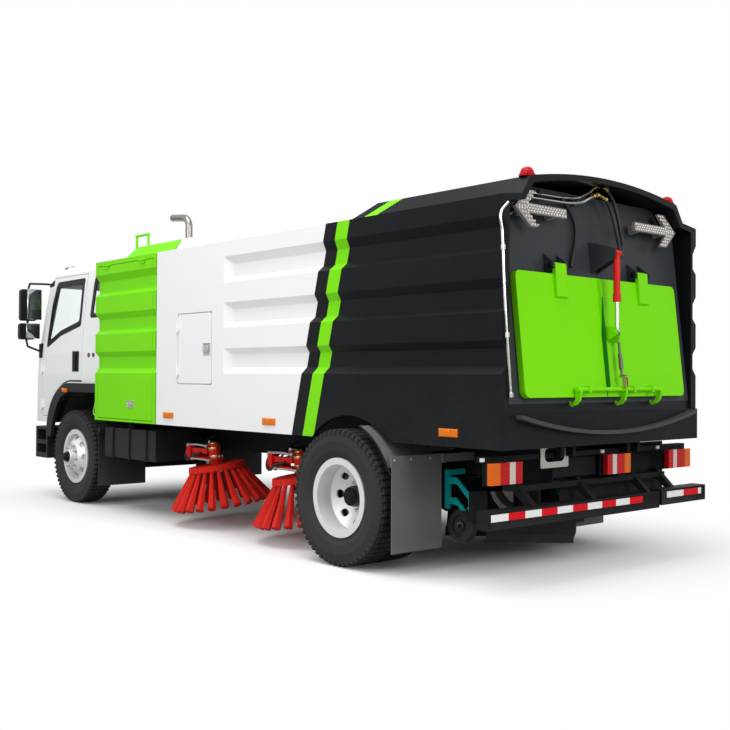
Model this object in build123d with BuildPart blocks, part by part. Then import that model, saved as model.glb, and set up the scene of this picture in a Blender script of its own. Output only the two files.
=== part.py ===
"""Street sweeper truck: a two-axle cab-over lorry with an engine compartment, a ribbed
tipping body with a rear discharge door, four side brooms and a suction nozzle.

Millimetres. +X is forward, +Y is the truck's left, +Z is up, the road is Z = 0 and the
origin lies on the road under the middle of the truck's length.
"""

from build123d import *
from math import atan2, cos, degrees, hypot, pi, radians, sin, sqrt, tan
import os

# ---------------------------------------------------------------- driving dimensions

# running gear
WHEELBASE = 4800.0
FRONT_OVERHANG = 1180.0          # front axle to the bumper's face
REAR_OVERHANG = 1610.0           # rear axle to the door cylinder's back
REAR_AXLE_X = REAR_OVERHANG - (FRONT_OVERHANG + WHEELBASE + REAR_OVERHANG) / 2
FRONT_AXLE_X = REAR_AXLE_X + WHEELBASE
TYRE_RADIUS = 509.0
TYRE_WIDTH = 258.0
RIM_FLANGE_RADIUS = 296.0
RIM_SEAT_RADIUS = 256.0
RIM_WIDTH = 210.0                # over the flanges
RIM_FLANGE_THICKNESS = 12.0
RIM_WALL = 9.0
DISC_OFFSET = 145.0              # wheel disc's bolting face from the tyre's middle plane
FRONT_TYRE_Y = 925.0
REAR_OUTER_TYRE_Y = 1140.0
DUAL_SPACING = 2 * DISC_OFFSET
KINGPIN_Y = 800.0
KINGPIN_RADIUS = 20.0
FRONT_SPINDLE_RADIUS = 34.0
REAR_SPINDLE_RADIUS = 55.0
PIN_CLEARANCE = 0.05             # radial clearance of a shaft or pin that turns
SEAT_GAP = 0.3                   # between pieces that rest on one another

# chassis
RAIL_TOP_Z = 900.0
RAIL_HEIGHT = 220.0
RAIL_FLANGE = 78.0
RAIL_WALL = 9.0
RAIL_OUTER_Y = 430.0
RAIL_FRONT_X = FRONT_AXLE_X + 980.0
RAIL_REAR_X = REAR_AXLE_X - 1350.0

# ribbed body
BODY_HALF_WIDTH = 1150.0
BODY_BOTTOM_Z = 940.0
BODY_WALL_TOP_Z = 2585.0
LEDGE_Y = 960.0                  # roof: flat ledge, steep chamfer, then a low arch
LEDGE_Z = 2610.0
CROWN_Y = 870.0
CROWN_Z = 2740.0
ROOF_TOP_Z = 2822.0
BODY_REAR_X = REAR_AXLE_X - 1510.0
BODY_FRONT_X = REAR_AXLE_X + 2832.0
SEAM_GAP = 22.0                  # rubber seam between compartment and body
SIDE_WALL = 70.0
ROOF_WALL = 40.0
FLOOR_Z = 1125.0
FLOOR_THICKNESS = 30.0
SKIRT_THICKNESS = 40.0
GROOVE_DEPTH = 45.0
GROOVE_FRONT_X = REAR_AXLE_X + 1684.0
GROOVE_FRONT_SLOPE = 87.0
# groove: top of upper slope, top of inner face, bottom of inner face, bottom of lower slope
GROOVES_Z = [
    (2448.0, 2380.0, 2265.0, 2222.0),
    (2046.0, 1988.0, 1873.0, 1829.0),
    (1647.0, 1596.0, 1481.0, 1428.0),
]
BULKHEAD_X = REAR_AXLE_X + 1640.0
BULKHEAD_THICKNESS = 30.0
ARCH_RADIUS = TYRE_RADIUS + 100.0
BODY_BEAM_Y = 390.0
BODY_BEAM_WIDTH = 90.0
TIP_X = REAR_AXLE_X - 1462.0     # tipping hinge
TIP_Z = 968.0
TIP_PIN_RADIUS = 22.0
HOIST_FOOT = (REAR_AXLE_X - 700.0, 790.0)
HOIST_HEAD = (REAR_AXLE_X + 900.0, 1010.0)
HOIST_LUG_Y = 48.0               # inner face of either lug beside the rod's eye
HOIST_LUG_THICKNESS = 16.0
LAMP_Z = (712.0, 854.0)          # tail lamps
LAMP_BAR_Z = (856.0, 892.0)
LAMP_BRACKET_EDGE = 10.0
TAIL_LAMPS_Y = [(870.0, 1175.0), (-360.0, -75.0), (-1175.0, -870.0)]

# engine compartment
COMPARTMENT_FRONT_X = REAR_AXLE_X + 4100.0
COMPARTMENT_REAR_X = BODY_FRONT_X + SEAM_GAP
CROWN_FRONT_X = COMPARTMENT_FRONT_X - 250.0
CROWN_FRONT_SLOPE = 240.0
SIDE_DOOR_MARGIN = 55.0
SIDE_DOOR_BOTTOM_Z = 962.0
SIDE_DOOR_TOP_Z = 2540.0
DOOR_GAP = 6.0

# cab: height, front face from the front axle, half width, front corner radius
CAB_SECTIONS = [
    (860.0, 1150.0, 1015.0, 150.0),
    (1400.0, 1105.0, 1030.0, 150.0),
    (1650.0, 1085.0, 1026.0, 150.0),
    (2420.0, 950.0, 958.0, 140.0),
    (2560.0, 840.0, 930.0, 130.0),
    (2650.0, 640.0, 860.0, 100.0),
]
CAB_REAR_X = FRONT_AXLE_X - 600.0
CAB_WALL = 45.0
CAB_FRONT_BULGE = 45.0
# wheel arch of the cab and its flare's outer edge, from the front axle: (along X, height)
ARCH_FOOT_Z = 700.0
CAB_ARCH_TOP = 1232.0
FLARE_TOP = 1316.0
CAB_ARCH = [
    (598.0, ARCH_FOOT_Z), (571.0, 829.0), (500.0, 981.0), (425.0, 1085.0), (336.0, 1168.0),
    (150.0, CAB_ARCH_TOP), (-700.0, CAB_ARCH_TOP),
]
FLARE_EDGE = [
    (703.0, ARCH_FOOT_Z), (690.0, 850.0), (655.0, 970.0), (600.0, 1070.0), (530.0, 1150.0),
    (430.0, 1228.0), (320.0, 1286.0), (190.0, FLARE_TOP), (-600.0, FLARE_TOP),
]
TILT_X = FRONT_AXLE_X + 1120.0   # cab's tilting hinge
TILT_Z = 868.0
TILT_PIN_RADIUS = 12.0
TILT_LUG_Y = 356.0
DOOR_TOP_Z = 2535.0
DOOR_FOOT_Z = 930.0
DOOR_ABOVE_FLARE = 16.0
DOOR_REAR_TOP = (-110.0, DOOR_TOP_Z)
DOOR_REAR_FOOT_X = -140.0
DOOR_FRONT_TOP = (745.0, DOOR_TOP_Z)
DOOR_FRONT_BELT = (880.0, 1640.0)
CAB_DOOR_SKIN = 16.0
CAB_DOOR_FRAME_GAP = 36.0        # the door's thick frame stands in from its skin's edge
CAB_DOOR_REAR_ROOM = 8.0         # more room at the rear top, where the leaning door swings
CAB_DOOR_ARCH_ROOM = 12.0        # and at the edge over the wheel arch, close to the hinge
GLASS_THICKNESS = 6.0
GLASS_DEPTH = 14.0               # glass below the outer skin

# rear wall, door and locks: measured on the leaning wall
REAR_WALL_LEAN = 6.5             # degrees, top forward
REAR_WALL_X = REAR_AXLE_X - 1490.0    # outer face at REAR_WALL_Z
REAR_WALL_Z = 1200.0
REAR_WALL_THICKNESS = 28.0
REAR_WALL_TOP = 1530.0           # along the wall, from REAR_WALL_Z
DOOR_HALF_WIDTH = 945.0
DOOR_BOTTOM = 70.0
DOOR_TOP = 918.0
DOOR_CORNER = 45.0
DOOR_SEAT = 8.0                  # door's inner face from the wall
DOOR_SHEET = 12.0
DOOR_RIM_DEPTH = 46.0
DOOR_HINGE_T = 975.0             # hinge axis, along the wall
DOOR_HINGE_N = 62.0              # hinge axis, out from the wall
DOOR_HINGE_Y = 490.0
HINGE_PIN_RADIUS = 12.0
CHUTE_HALF_WIDTH = 850.0
CHUTE_BOTTOM = 150.0
CHUTE_TOP = 850.0

# hydraulic cylinder of the discharge door: barrel pin and rod pin, (along wall, out)
CYLINDER_PIN = (1075.0, 205.0)
ROD_PIN = (525.0, 148.0)
CYLINDER_RADIUS = 24.0
ROD_RADIUS = 14.0
CYLINDER_EYE = 62.0              # width over the barrel's upper eye

# side brooms: name, centre from the rear axle, arm pivot from the rear axle
BROOMS = [("front", 2400.0, 2830.0), ("rear", 1070.0, 1500.0)]
BROOM_Y = 740.0
BROOM_Z = 545.0
BROOM_TILT = 9.0                 # degrees, outer front edge down
BROOM_DISC_RADIUS = 270.0
BROOM_TIP_RADIUS = 455.0
BROOM_TUFTS = 24
ARM_PIVOT_Y = 520.0
ARM_Z = 700.0

# suction nozzle, hung a little askew in its raised place
NOZZLE_X = REAR_AXLE_X - 640.0
NOZZLE_HALF_WIDTH = 520.0
NOZZLE_TILT = 6.2                # degrees, left side up
NOZZLE_Z = 190.0
CASTOR_RADIUS = 122.0
CASTOR_WIDTH = 60.0
CASTOR_Y = 590.0


# ---------------------------------------------------------------- small builders

def slab(x, y, z):
    """A box given by its (low, high) ranges."""
    with BuildPart() as piece:
        with BuildSketch(Plane.XY.offset(z[0])):
            with Locations(((x[0] + x[1]) / 2, (y[0] + y[1]) / 2)):
                Rectangle(x[1] - x[0], y[1] - y[0])
        extrude(amount=z[1] - z[0])
    return piece.part


def rod(start, end, radius, bore=0.0):
    """A round bar, or a tube, between two points."""
    along = Vector(*end) - Vector(*start)
    with BuildPart() as piece:
        with BuildSketch(Plane(origin=start, z_dir=along)):
            Circle(radius)
            if bore:
                Circle(bore, mode=Mode.SUBTRACT)
        extrude(amount=along.length)
    return piece.part


def prism_y(outline, y):
    """An (x, z) outline carried across the truck from y[0] to y[1]."""
    with BuildPart() as piece:
        with BuildSketch(Plane(origin=(0, y[0], 0), x_dir=(1, 0, 0), z_dir=(0, -1, 0))):
            with BuildLine():
                Polyline(*outline, close=True)
            make_face()
        extrude(amount=-(y[1] - y[0]))
    return piece.part


def prism_x(outline, x):
    """A (y, z) outline carried along the truck from x[0] to x[1]."""
    with BuildPart() as piece:
        with BuildSketch(Plane(origin=(x[0], 0, 0), x_dir=(0, 1, 0), z_dir=(1, 0, 0))):
            with BuildLine():
                Polyline(*outline, close=True)
            make_face()
        extrude(amount=x[1] - x[0])
    return piece.part


def turned(centre, outline):
    """An outline of (distance along Y, radius) turned about a Y axis through the centre."""
    x, y, z = centre
    with BuildPart() as piece:
        with BuildSketch(Plane(origin=(x, y, z), x_dir=(0, 1, 0), z_dir=(-1, 0, 0))):
            with BuildLine():
                Polyline(*outline, close=True)
            make_face()
        revolve(axis=Axis((x, y, z), (0, 1, 0)))
    return piece.part


def mirrored(piece):
    """The right-hand twin of a left-hand piece."""
    return mirror(piece, about=Plane.XZ)


def rear_wall(along, out):
    """A point of the leaning rear wall's (along, out) frame as (x, z)."""
    lean = radians(REAR_WALL_LEAN)
    return (
        REAR_WALL_X + along * sin(lean) - out * cos(lean),
        REAR_WALL_Z + along * cos(lean) + out * sin(lean),
    )


def rear_plane(out=0.0):
    """Sketch plane on the rear wall: x to the right seen from behind, y up the wall."""
    x, z = rear_wall(0.0, out)
    lean = radians(REAR_WALL_LEAN)
    return Plane(origin=(x, 0, z), x_dir=(0, -1, 0), z_dir=(-cos(lean), 0, sin(lean)))


def on_wall(along, out, y):
    x, z = rear_wall(along, out)
    return (x, y, z)


pieces = {}


def keep(name, *solids):
    """Join the solids as one named piece."""
    with BuildPart() as piece:
        for solid in solids:
            add(solid)
    piece.part.label = name
    pieces[name] = piece.part
    return piece.part


os.makedirs("parts", exist_ok=True)

# ---------------------------------------------------------------- wheels and tyres

def tyre_at(x, y):
    half = TYRE_WIDTH / 2
    seat = RIM_WIDTH / 2 - RIM_FLANGE_THICKNESS - 1.0
    bore = RIM_SEAT_RADIUS + 0.5
    right = [
        (seat, bore), (seat, RIM_FLANGE_RADIUS + 3), (half - 8, RIM_FLANGE_RADIUS + 55),
        (half, TYRE_RADIUS - 90), (half - 12, TYRE_RADIUS - 24), (half - 30, TYRE_RADIUS),
    ]
    left = [(-a, r) for a, r in reversed(right)]
    return turned((x, y, TYRE_RADIUS), right + left)


def rim_at(x, y, outward):
    """Rim, disc and its hand holes; outward is the side on which the disc stands."""
    half = RIM_WIDTH / 2
    side = half - RIM_FLANGE_THICKNESS
    inner = RIM_SEAT_RADIUS - RIM_WALL
    rim = turned((x, y, TYRE_RADIUS), [
        (-half, inner), (half, inner), (half, RIM_FLANGE_RADIUS), (side, RIM_FLANGE_RADIUS),
        (side, RIM_SEAT_RADIUS), (-side, RIM_SEAT_RADIUS), (-side, RIM_FLANGE_RADIUS),
        (-half, RIM_FLANGE_RADIUS),
    ])
    plate = 10.0
    disc = turned((x, y, TYRE_RADIUS), [
        (outward * (DISC_OFFSET - plate), 70), (outward * (DISC_OFFSET - plate), 140),
        (outward * 30, inner + 1), (outward * 30 + outward * 14, inner + 1),
        (outward * DISC_OFFSET, 146), (outward * DISC_OFFSET, 70),
    ])
    with BuildPart() as wheel:
        add(rim)
        add(disc)
        with BuildSketch(Plane(origin=(x, y - 300, TYRE_RADIUS), x_dir=(1, 0, 0), z_dir=(0, 1, 0))):
            with PolarLocations(196, 8):
                SlotOverall(66, 42, rotation=90)
        extrude(amount=600, mode=Mode.SUBTRACT)
    return wheel.part


def hub_at(x, outline, bore):
    """Hub turned about the wheel's axis, from (Y, radius) points of its outside."""
    first, last = outline[0][0], outline[-1][0]
    return turned((x, 0, TYRE_RADIUS), outline + [(last, bore), (first, bore)])


front_face_y = FRONT_TYRE_Y + DISC_OFFSET
rear_inner_tyre_y = REAR_OUTER_TYRE_Y - DUAL_SPACING
rear_face_y = REAR_OUTER_TYRE_Y - DISC_OFFSET

front_tyre = tyre_at(FRONT_AXLE_X, FRONT_TYRE_Y)
keep("tyre_front_left", front_tyre)
keep("tyre_front_right", mirrored(front_tyre))

front_hub = hub_at(FRONT_AXLE_X, [
    (KINGPIN_Y + 78, 190), (front_face_y - 60, 190), (front_face_y - 45, 150),
    (front_face_y - 10, 130), (front_face_y - 10, 76), (front_face_y + 40, 74),
    (front_face_y + 50, 62),
], FRONT_SPINDLE_RADIUS + PIN_CLEARANCE)
front_cap = rod((FRONT_AXLE_X, front_face_y + 50, TYRE_RADIUS),
                (FRONT_AXLE_X, front_face_y + 68, TYRE_RADIUS), 50)
front_wheel = keep("wheel_front_left", rim_at(FRONT_AXLE_X, FRONT_TYRE_Y, 1), front_hub, front_cap)
keep("wheel_front_right", mirrored(front_wheel))

rear_outer = tyre_at(REAR_AXLE_X, REAR_OUTER_TYRE_Y)
rear_inner = tyre_at(REAR_AXLE_X, rear_inner_tyre_y)
rear_tyres = keep("tyres_rear_left", rear_outer, rear_inner)
keep("tyres_rear_right", mirrored(rear_tyres))

rear_hub = hub_at(REAR_AXLE_X, [
    (rear_inner_tyre_y - 60, 200), (rear_face_y - 70, 200), (rear_face_y - 60, 150),
    (rear_face_y - 10, 130), (rear_face_y - 10, 86), (rear_face_y + 95, 80),
    (rear_face_y + 105, 66),
], REAR_SPINDLE_RADIUS + PIN_CLEARANCE)
rear_cap = rod((REAR_AXLE_X, rear_face_y + 105, TYRE_RADIUS),
               (REAR_AXLE_X, rear_face_y + 125, TYRE_RADIUS), 72)
rear_wheels = keep(
    "wheels_rear_left",
    rim_at(REAR_AXLE_X, REAR_OUTER_TYRE_Y, -1),
    rim_at(REAR_AXLE_X, rear_inner_tyre_y, 1),
    rear_hub, rear_cap,
)
keep("wheels_rear_right", mirrored(rear_wheels))

# ---------------------------------------------------------------- axles and knuckles

BEAM_HALF = 42.0
BOSS_RADIUS = 44.0
BOSS_HALF = 58.0
EAR_THICKNESS = 34.0
EAR_GAP = 1.0
SPRING_Y = 392.0
SPRING_WIDTH = 74.0

beam_outline = [
    (-KINGPIN_Y, TYRE_RADIUS + 35), (-KINGPIN_Y, TYRE_RADIUS - 40), (-620, 400), (-500, 340),
    (500, 340), (620, 400), (KINGPIN_Y, TYRE_RADIUS - 40), (KINGPIN_Y, TYRE_RADIUS + 35),
    (640, 480), (500, 425), (-500, 425), (-640, 480),
]


def leaf_spring(x, y, length, z, camber, pad_z):
    """A stack of three leaves under a rail, its axle pad and its two hangers."""
    half = length / 2
    solids = []
    for leaf, share in enumerate((1.0, 0.78, 0.55)):
        reach = half * share
        rise = camber * share * share
        low = z - 16.0 * leaf
        with BuildPart() as plate:
            with BuildSketch(Plane(origin=(x, y - SPRING_WIDTH / 2, 0), x_dir=(1, 0, 0), z_dir=(0, -1, 0))):
                with BuildLine():
                    ThreePointArc((-reach, low + rise), (0, low), (reach, low + rise))
                    Line((reach, low + rise), (reach, low + rise - 16.5))
                    ThreePointArc((reach, low + rise - 16.5), (0, low - 16.5), (-reach, low + rise - 16.5))
                    Line((-reach, low + rise - 16.5), (-reach, low + rise))
                make_face()
            extrude(amount=-SPRING_WIDTH)
        solids.append(plate.part)
    solids.append(slab((x - 70, x + 70), (y - 45, y + 45), (pad_z, z - 32)))
    for end in (-1, 1):
        at = x + end * (half - 12)
        solids.append(slab((at - 25, at + 25), (y - 25, y + 25),
                           (z + camber - 20, RAIL_TOP_Z - RAIL_HEIGHT)))
    return solids


kingpins = []
for side in (-1, 1):
    kingpins.append(rod((FRONT_AXLE_X, side * KINGPIN_Y, TYRE_RADIUS - BOSS_HALF),
                        (FRONT_AXLE_X, side * KINGPIN_Y, TYRE_RADIUS + BOSS_HALF), BOSS_RADIUS))
    reach = BOSS_HALF + EAR_GAP + EAR_THICKNESS + 4
    kingpins.append(rod((FRONT_AXLE_X, side * KINGPIN_Y, TYRE_RADIUS - reach),
                        (FRONT_AXLE_X, side * KINGPIN_Y, TYRE_RADIUS + reach), KINGPIN_RADIUS))
front_springs = []
for side in (-1, 1):
    front_springs += leaf_spring(FRONT_AXLE_X, side * SPRING_Y, 1300, 480, 120, 420)
keep("front_axle",
     prism_x(beam_outline, (FRONT_AXLE_X - BEAM_HALF, FRONT_AXLE_X + BEAM_HALF)),
     *kingpins, *front_springs)

ear_low = BOSS_HALF + EAR_GAP
ears = []
for up in (-1, 1):
    z0 = TYRE_RADIUS + up * ear_low
    z1 = TYRE_RADIUS + up * (ear_low + EAR_THICKNESS)
    ears.append(rod((FRONT_AXLE_X, KINGPIN_Y, z0), (FRONT_AXLE_X, KINGPIN_Y, z1), 42))
    ears.append(slab((FRONT_AXLE_X - 40, FRONT_AXLE_X + 40), (KINGPIN_Y, KINGPIN_Y + 50),
                     (min(z0, z1), max(z0, z1))))
with BuildPart() as knuckle:
    for ear in ears:
        add(ear)
    add(slab((FRONT_AXLE_X - 55, FRONT_AXLE_X + 55), (KINGPIN_Y + 49, KINGPIN_Y + 72),
             (TYRE_RADIUS - ear_low - EAR_THICKNESS, TYRE_RADIUS + ear_low + EAR_THICKNESS)))
    add(rod((FRONT_AXLE_X, KINGPIN_Y + 60, TYRE_RADIUS), (FRONT_AXLE_X, front_face_y + 45, TYRE_RADIUS),
            FRONT_SPINDLE_RADIUS))
    with BuildSketch(Plane.XY.offset(TYRE_RADIUS - 200)):
        with Locations((FRONT_AXLE_X, KINGPIN_Y)):
            Circle(KINGPIN_RADIUS + PIN_CLEARANCE)
    extrude(amount=400, mode=Mode.SUBTRACT)
keep("knuckle_left", knuckle.part)
keep("knuckle_right", mirrored(knuckle.part))

rear_springs = []
for side in (-1, 1):
    rear_springs += leaf_spring(REAR_AXLE_X, side * SPRING_Y, 1400, 630, 50, 560)
with BuildPart() as differential:
    with BuildSketch(Plane(origin=(REAR_AXLE_X, 0, TYRE_RADIUS), x_dir=(0, 1, 0), z_dir=(-1, 0, 0))):
        with BuildLine():
            Line((-230, 0), (-230, 80))
            ThreePointArc((-230, 80), (0, 205), (230, 80))
            Line((230, 80), (230, 0))
            Line((230, 0), (-230, 0))
        make_face()
    revolve(axis=Axis((REAR_AXLE_X, 0, TYRE_RADIUS), (0, 1, 0)))
keep("rear_axle",
     rod((REAR_AXLE_X, -rear_inner_tyre_y + 75, TYRE_RADIUS),
         (REAR_AXLE_X, rear_inner_tyre_y - 75, TYRE_RADIUS), 75),
     rod((REAR_AXLE_X, -rear_face_y - 100, TYRE_RADIUS), (REAR_AXLE_X, rear_face_y + 100, TYRE_RADIUS),
         REAR_SPINDLE_RADIUS),
     differential.part,
     rod((REAR_AXLE_X, 0, TYRE_RADIUS + 20), (REAR_AXLE_X + 420, 0, TYRE_RADIUS + 50), 70),
     *rear_springs)

# ---------------------------------------------------------------- chassis frame

rail_bottom_z = RAIL_TOP_Z - RAIL_HEIGHT
frame_solids = []
for side in (-1, 1):
    web = sorted((side * (RAIL_OUTER_Y - RAIL_WALL), side * RAIL_OUTER_Y))
    flange = sorted((side * (RAIL_OUTER_Y - RAIL_FLANGE), side * RAIL_OUTER_Y))
    frame_solids += [
        slab((RAIL_REAR_X, RAIL_FRONT_X), web, (rail_bottom_z, RAIL_TOP_Z)),
        slab((RAIL_REAR_X, RAIL_FRONT_X), flange, (rail_bottom_z, rail_bottom_z + RAIL_WALL)),
        slab((RAIL_REAR_X, RAIL_FRONT_X), flange, (RAIL_TOP_Z - RAIL_WALL, RAIL_TOP_Z)),
    ]
CROSSMEMBERS = [-1310.0, -805.0, 620.0, 1950.0, 2900.0, 3600.0, 5680.0]
for distance in CROSSMEMBERS:
    x = REAR_AXLE_X + distance
    frame_solids.append(slab((x - 35, x + 35), (-RAIL_OUTER_Y + 2, RAIL_OUTER_Y - 2),
                             (rail_bottom_z + 30, RAIL_TOP_Z - 60)))

# tipping hinge ears and their pins, on the rails' rear ends
EAR_HALF = 16.0
lug_y = BODY_BEAM_Y
for side in (-1, 1):
    for inner in (-1, 1):
        y = side * lug_y + inner * (BODY_BEAM_WIDTH / 2 + 3 + EAR_HALF)
        frame_solids.append(slab((TIP_X + 6, TIP_X + 150), (y - EAR_HALF, y + EAR_HALF),
                                 (LAMP_Z[1] + 8, TIP_Z)))
        frame_solids.append(rod((TIP_X, y - EAR_HALF, TIP_Z), (TIP_X, y + EAR_HALF, TIP_Z), 26))
    frame_solids.append(rod((TIP_X, side * lug_y - BODY_BEAM_WIDTH / 2 - 20, TIP_Z),
                            (TIP_X, side * lug_y + BODY_BEAM_WIDTH / 2 + 20, TIP_Z), TIP_PIN_RADIUS))
for side in (-1, 1):
    frame_solids.append(slab((FRONT_AXLE_X - 560, FRONT_AXLE_X - 480),
                             sorted((side * (RAIL_OUTER_Y - RAIL_FLANGE), side * RAIL_OUTER_Y)),
                             (RAIL_TOP_Z - 1, CAB_ARCH_TOP - SEAT_GAP)))
LAMP_BAR_X = REAR_AXLE_X - 1375.0
frame_solids.append(slab((LAMP_BAR_X - 12, LAMP_BAR_X + 48), (-1190, 1190), LAMP_BAR_Z))
for low, high in TAIL_LAMPS_Y:
    frame_solids.append(slab((LAMP_BAR_X - 12, LAMP_BAR_X - 4),
                             (low - LAMP_BRACKET_EDGE, high + LAMP_BRACKET_EDGE),
                             (LAMP_Z[0] - LAMP_BRACKET_EDGE, LAMP_BAR_Z[0] + 1)))
frame_solids.append(slab((LAMP_BAR_X + 47, RAIL_REAR_X + 60), (-RAIL_OUTER_Y - 30, RAIL_OUTER_Y + 30),
                         (760, 870)))

# ---------------------------------------------------------------- body shell

def body_outline(side, roof, bottom):
    """Half outline of the body's cross section, inset by the side and roof walls."""
    return [
        (BODY_HALF_WIDTH - side, bottom),
        (BODY_HALF_WIDTH - side, BODY_WALL_TOP_Z - roof * 0.9),
        (LEDGE_Y - side * 0.5, LEDGE_Z - roof * 0.9),
        (CROWN_Y - side * 0.5, CROWN_Z - roof),
    ]


def body_prism(side, roof, bottom, x):
    half = body_outline(side, roof, bottom)
    other = [(-y, z) for y, z in half]
    with BuildPart() as piece:
        with BuildSketch(Plane(origin=(x[0], 0, 0), x_dir=(0, 1, 0), z_dir=(1, 0, 0))):
            with BuildLine():
                Polyline(*half)
                ThreePointArc(half[-1], (0, ROOF_TOP_Z - roof), other[-1])
                Polyline(*reversed(other))
                Line(other[0], half[0])
            make_face()
        extrude(amount=x[1] - x[0])
    return piece.part


def grooves(x_rear, x_front, slope):
    """The left wall's long pressed grooves, as the solid that they take out."""
    outer = BODY_HALF_WIDTH
    inner = BODY_HALF_WIDTH - GROOVE_DEPTH
    with BuildPart() as cut:
        with BuildSketch(Plane(origin=(x_rear, 0, 0), x_dir=(0, 1, 0), z_dir=(1, 0, 0))):
            for top, inner_top, inner_bottom, bottom in GROOVES_Z:
                with BuildLine():
                    Polyline((outer + 1, top), (outer, top), (inner, inner_top),
                             (inner, inner_bottom), (outer, bottom), (outer + 1, bottom), close=True)
                make_face()
        extrude(amount=x_front - x_rear)
        if slope:
            with BuildSketch(Plane.XY.offset(BODY_BOTTOM_Z)):
                with BuildLine():
                    Polyline((x_rear, inner - 1), (x_front - slope, inner - 1), (x_front - slope, inner),
                             (x_front, outer), (x_front, outer + 1), (x_rear, outer + 1), close=True)
                make_face()
            extrude(amount=BODY_WALL_TOP_Z - BODY_BOTTOM_Z, mode=Mode.INTERSECT)
    return cut.part


ACCESS_DOOR_X = (REAR_AXLE_X + 1868.0, REAR_AXLE_X + 2445.0)
ACCESS_DOOR_Z = (1329.0, 1979.0)
ACCESS_DOOR_THICKNESS = 34.0
LOCKER_DEPTH = 330.0
LOCKER_WALL = 20.0

body_cuts = grooves(BODY_REAR_X, GROOVE_FRONT_X, GROOVE_FRONT_SLOPE)
with BuildPart() as body_shell:
    add(body_prism(0, 0, BODY_BOTTOM_Z, (BODY_REAR_X, BODY_FRONT_X)))
    add(slab((BODY_REAR_X, BODY_FRONT_X),
             (-BODY_HALF_WIDTH + SKIRT_THICKNESS, BODY_HALF_WIDTH - SKIRT_THICKNESS),
             (BODY_BOTTOM_Z, FLOOR_Z)), mode=Mode.SUBTRACT)
    add(body_prism(SIDE_WALL, ROOF_WALL, FLOOR_Z + FLOOR_THICKNESS,
                   (BODY_REAR_X, BULKHEAD_X)), mode=Mode.SUBTRACT)
    add(body_prism(SIDE_WALL, ROOF_WALL, FLOOR_Z + FLOOR_THICKNESS,
                   (BULKHEAD_X + BULKHEAD_THICKNESS, BODY_FRONT_X - 40)), mode=Mode.SUBTRACT)
    add(body_cuts, mode=Mode.SUBTRACT)
    add(mirrored(body_cuts), mode=Mode.SUBTRACT)
    # wheel arches in the skirts
    add(rod((REAR_AXLE_X, -BODY_HALF_WIDTH - 10, TYRE_RADIUS),
            (REAR_AXLE_X, BODY_HALF_WIDTH + 10, TYRE_RADIUS),
            ARCH_RADIUS), mode=Mode.SUBTRACT)
    # longitudinal beams that lie on the chassis rails, with the tipping lugs
    for side in (-1, 1):
        add(slab((TIP_X + 200, BODY_FRONT_X),
                 sorted((side * (BODY_BEAM_Y - BODY_BEAM_WIDTH / 2),
                         side * (BODY_BEAM_Y + BODY_BEAM_WIDTH / 2))),
                 (RAIL_TOP_Z + SEAT_GAP, FLOOR_Z + 1)))
        add(slab((TIP_X - 20, TIP_X + 201),
                 sorted((side * (BODY_BEAM_Y - BODY_BEAM_WIDTH / 2),
                         side * (BODY_BEAM_Y + BODY_BEAM_WIDTH / 2))),
                 (TIP_Z - 20, FLOOR_Z + 1)))
        add(rod((TIP_X, side * BODY_BEAM_Y - BODY_BEAM_WIDTH / 2, TIP_Z),
                (TIP_X, side * BODY_BEAM_Y + BODY_BEAM_WIDTH / 2, TIP_Z), TIP_PIN_RADIUS + 16))
    add(rod((TIP_X, -600, TIP_Z), (TIP_X, 600, TIP_Z), TIP_PIN_RADIUS + PIN_CLEARANCE), mode=Mode.SUBTRACT)
    # lugs beside the tipping cylinder's eye
    for side in (-1, 1):
        add(prism_y([(HOIST_HEAD[0] - 90, FLOOR_Z + 1), (HOIST_HEAD[0] - 45, HOIST_HEAD[1] - 45),
                     (HOIST_HEAD[0] + 45, HOIST_HEAD[1] - 45), (HOIST_HEAD[0] + 90, FLOOR_Z + 1)],
                    sorted((side * HOIST_LUG_Y, side * (HOIST_LUG_Y + HOIST_LUG_THICKNESS)))))
    # locker behind the small side door
    add(slab((ACCESS_DOOR_X[0] - LOCKER_WALL, ACCESS_DOOR_X[1] + LOCKER_WALL),
             (BODY_HALF_WIDTH - LOCKER_DEPTH - LOCKER_WALL, BODY_HALF_WIDTH - SIDE_WALL + 1),
             (ACCESS_DOOR_Z[0] - LOCKER_WALL, ACCESS_DOOR_Z[1] + LOCKER_WALL)))
    add(slab(ACCESS_DOOR_X, (BODY_HALF_WIDTH - LOCKER_DEPTH, BODY_HALF_WIDTH + 1), ACCESS_DOOR_Z),
        mode=Mode.SUBTRACT)
    # filler cap on the roof
    add(rod((REAR_AXLE_X + 2280, CROWN_Y - 120, CROWN_Z),
            (REAR_AXLE_X + 2280, CROWN_Y - 120, CROWN_Z + 62), 45))
# hinge of an upright or level door: barrels on the door, knuckles and pin on what carries it
BARREL_RADIUS = 9.0
BARREL_PIN_RADIUS = 5.0
BARREL_HALF = 36.0
KNUCKLE_LENGTH = 22.0


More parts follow.
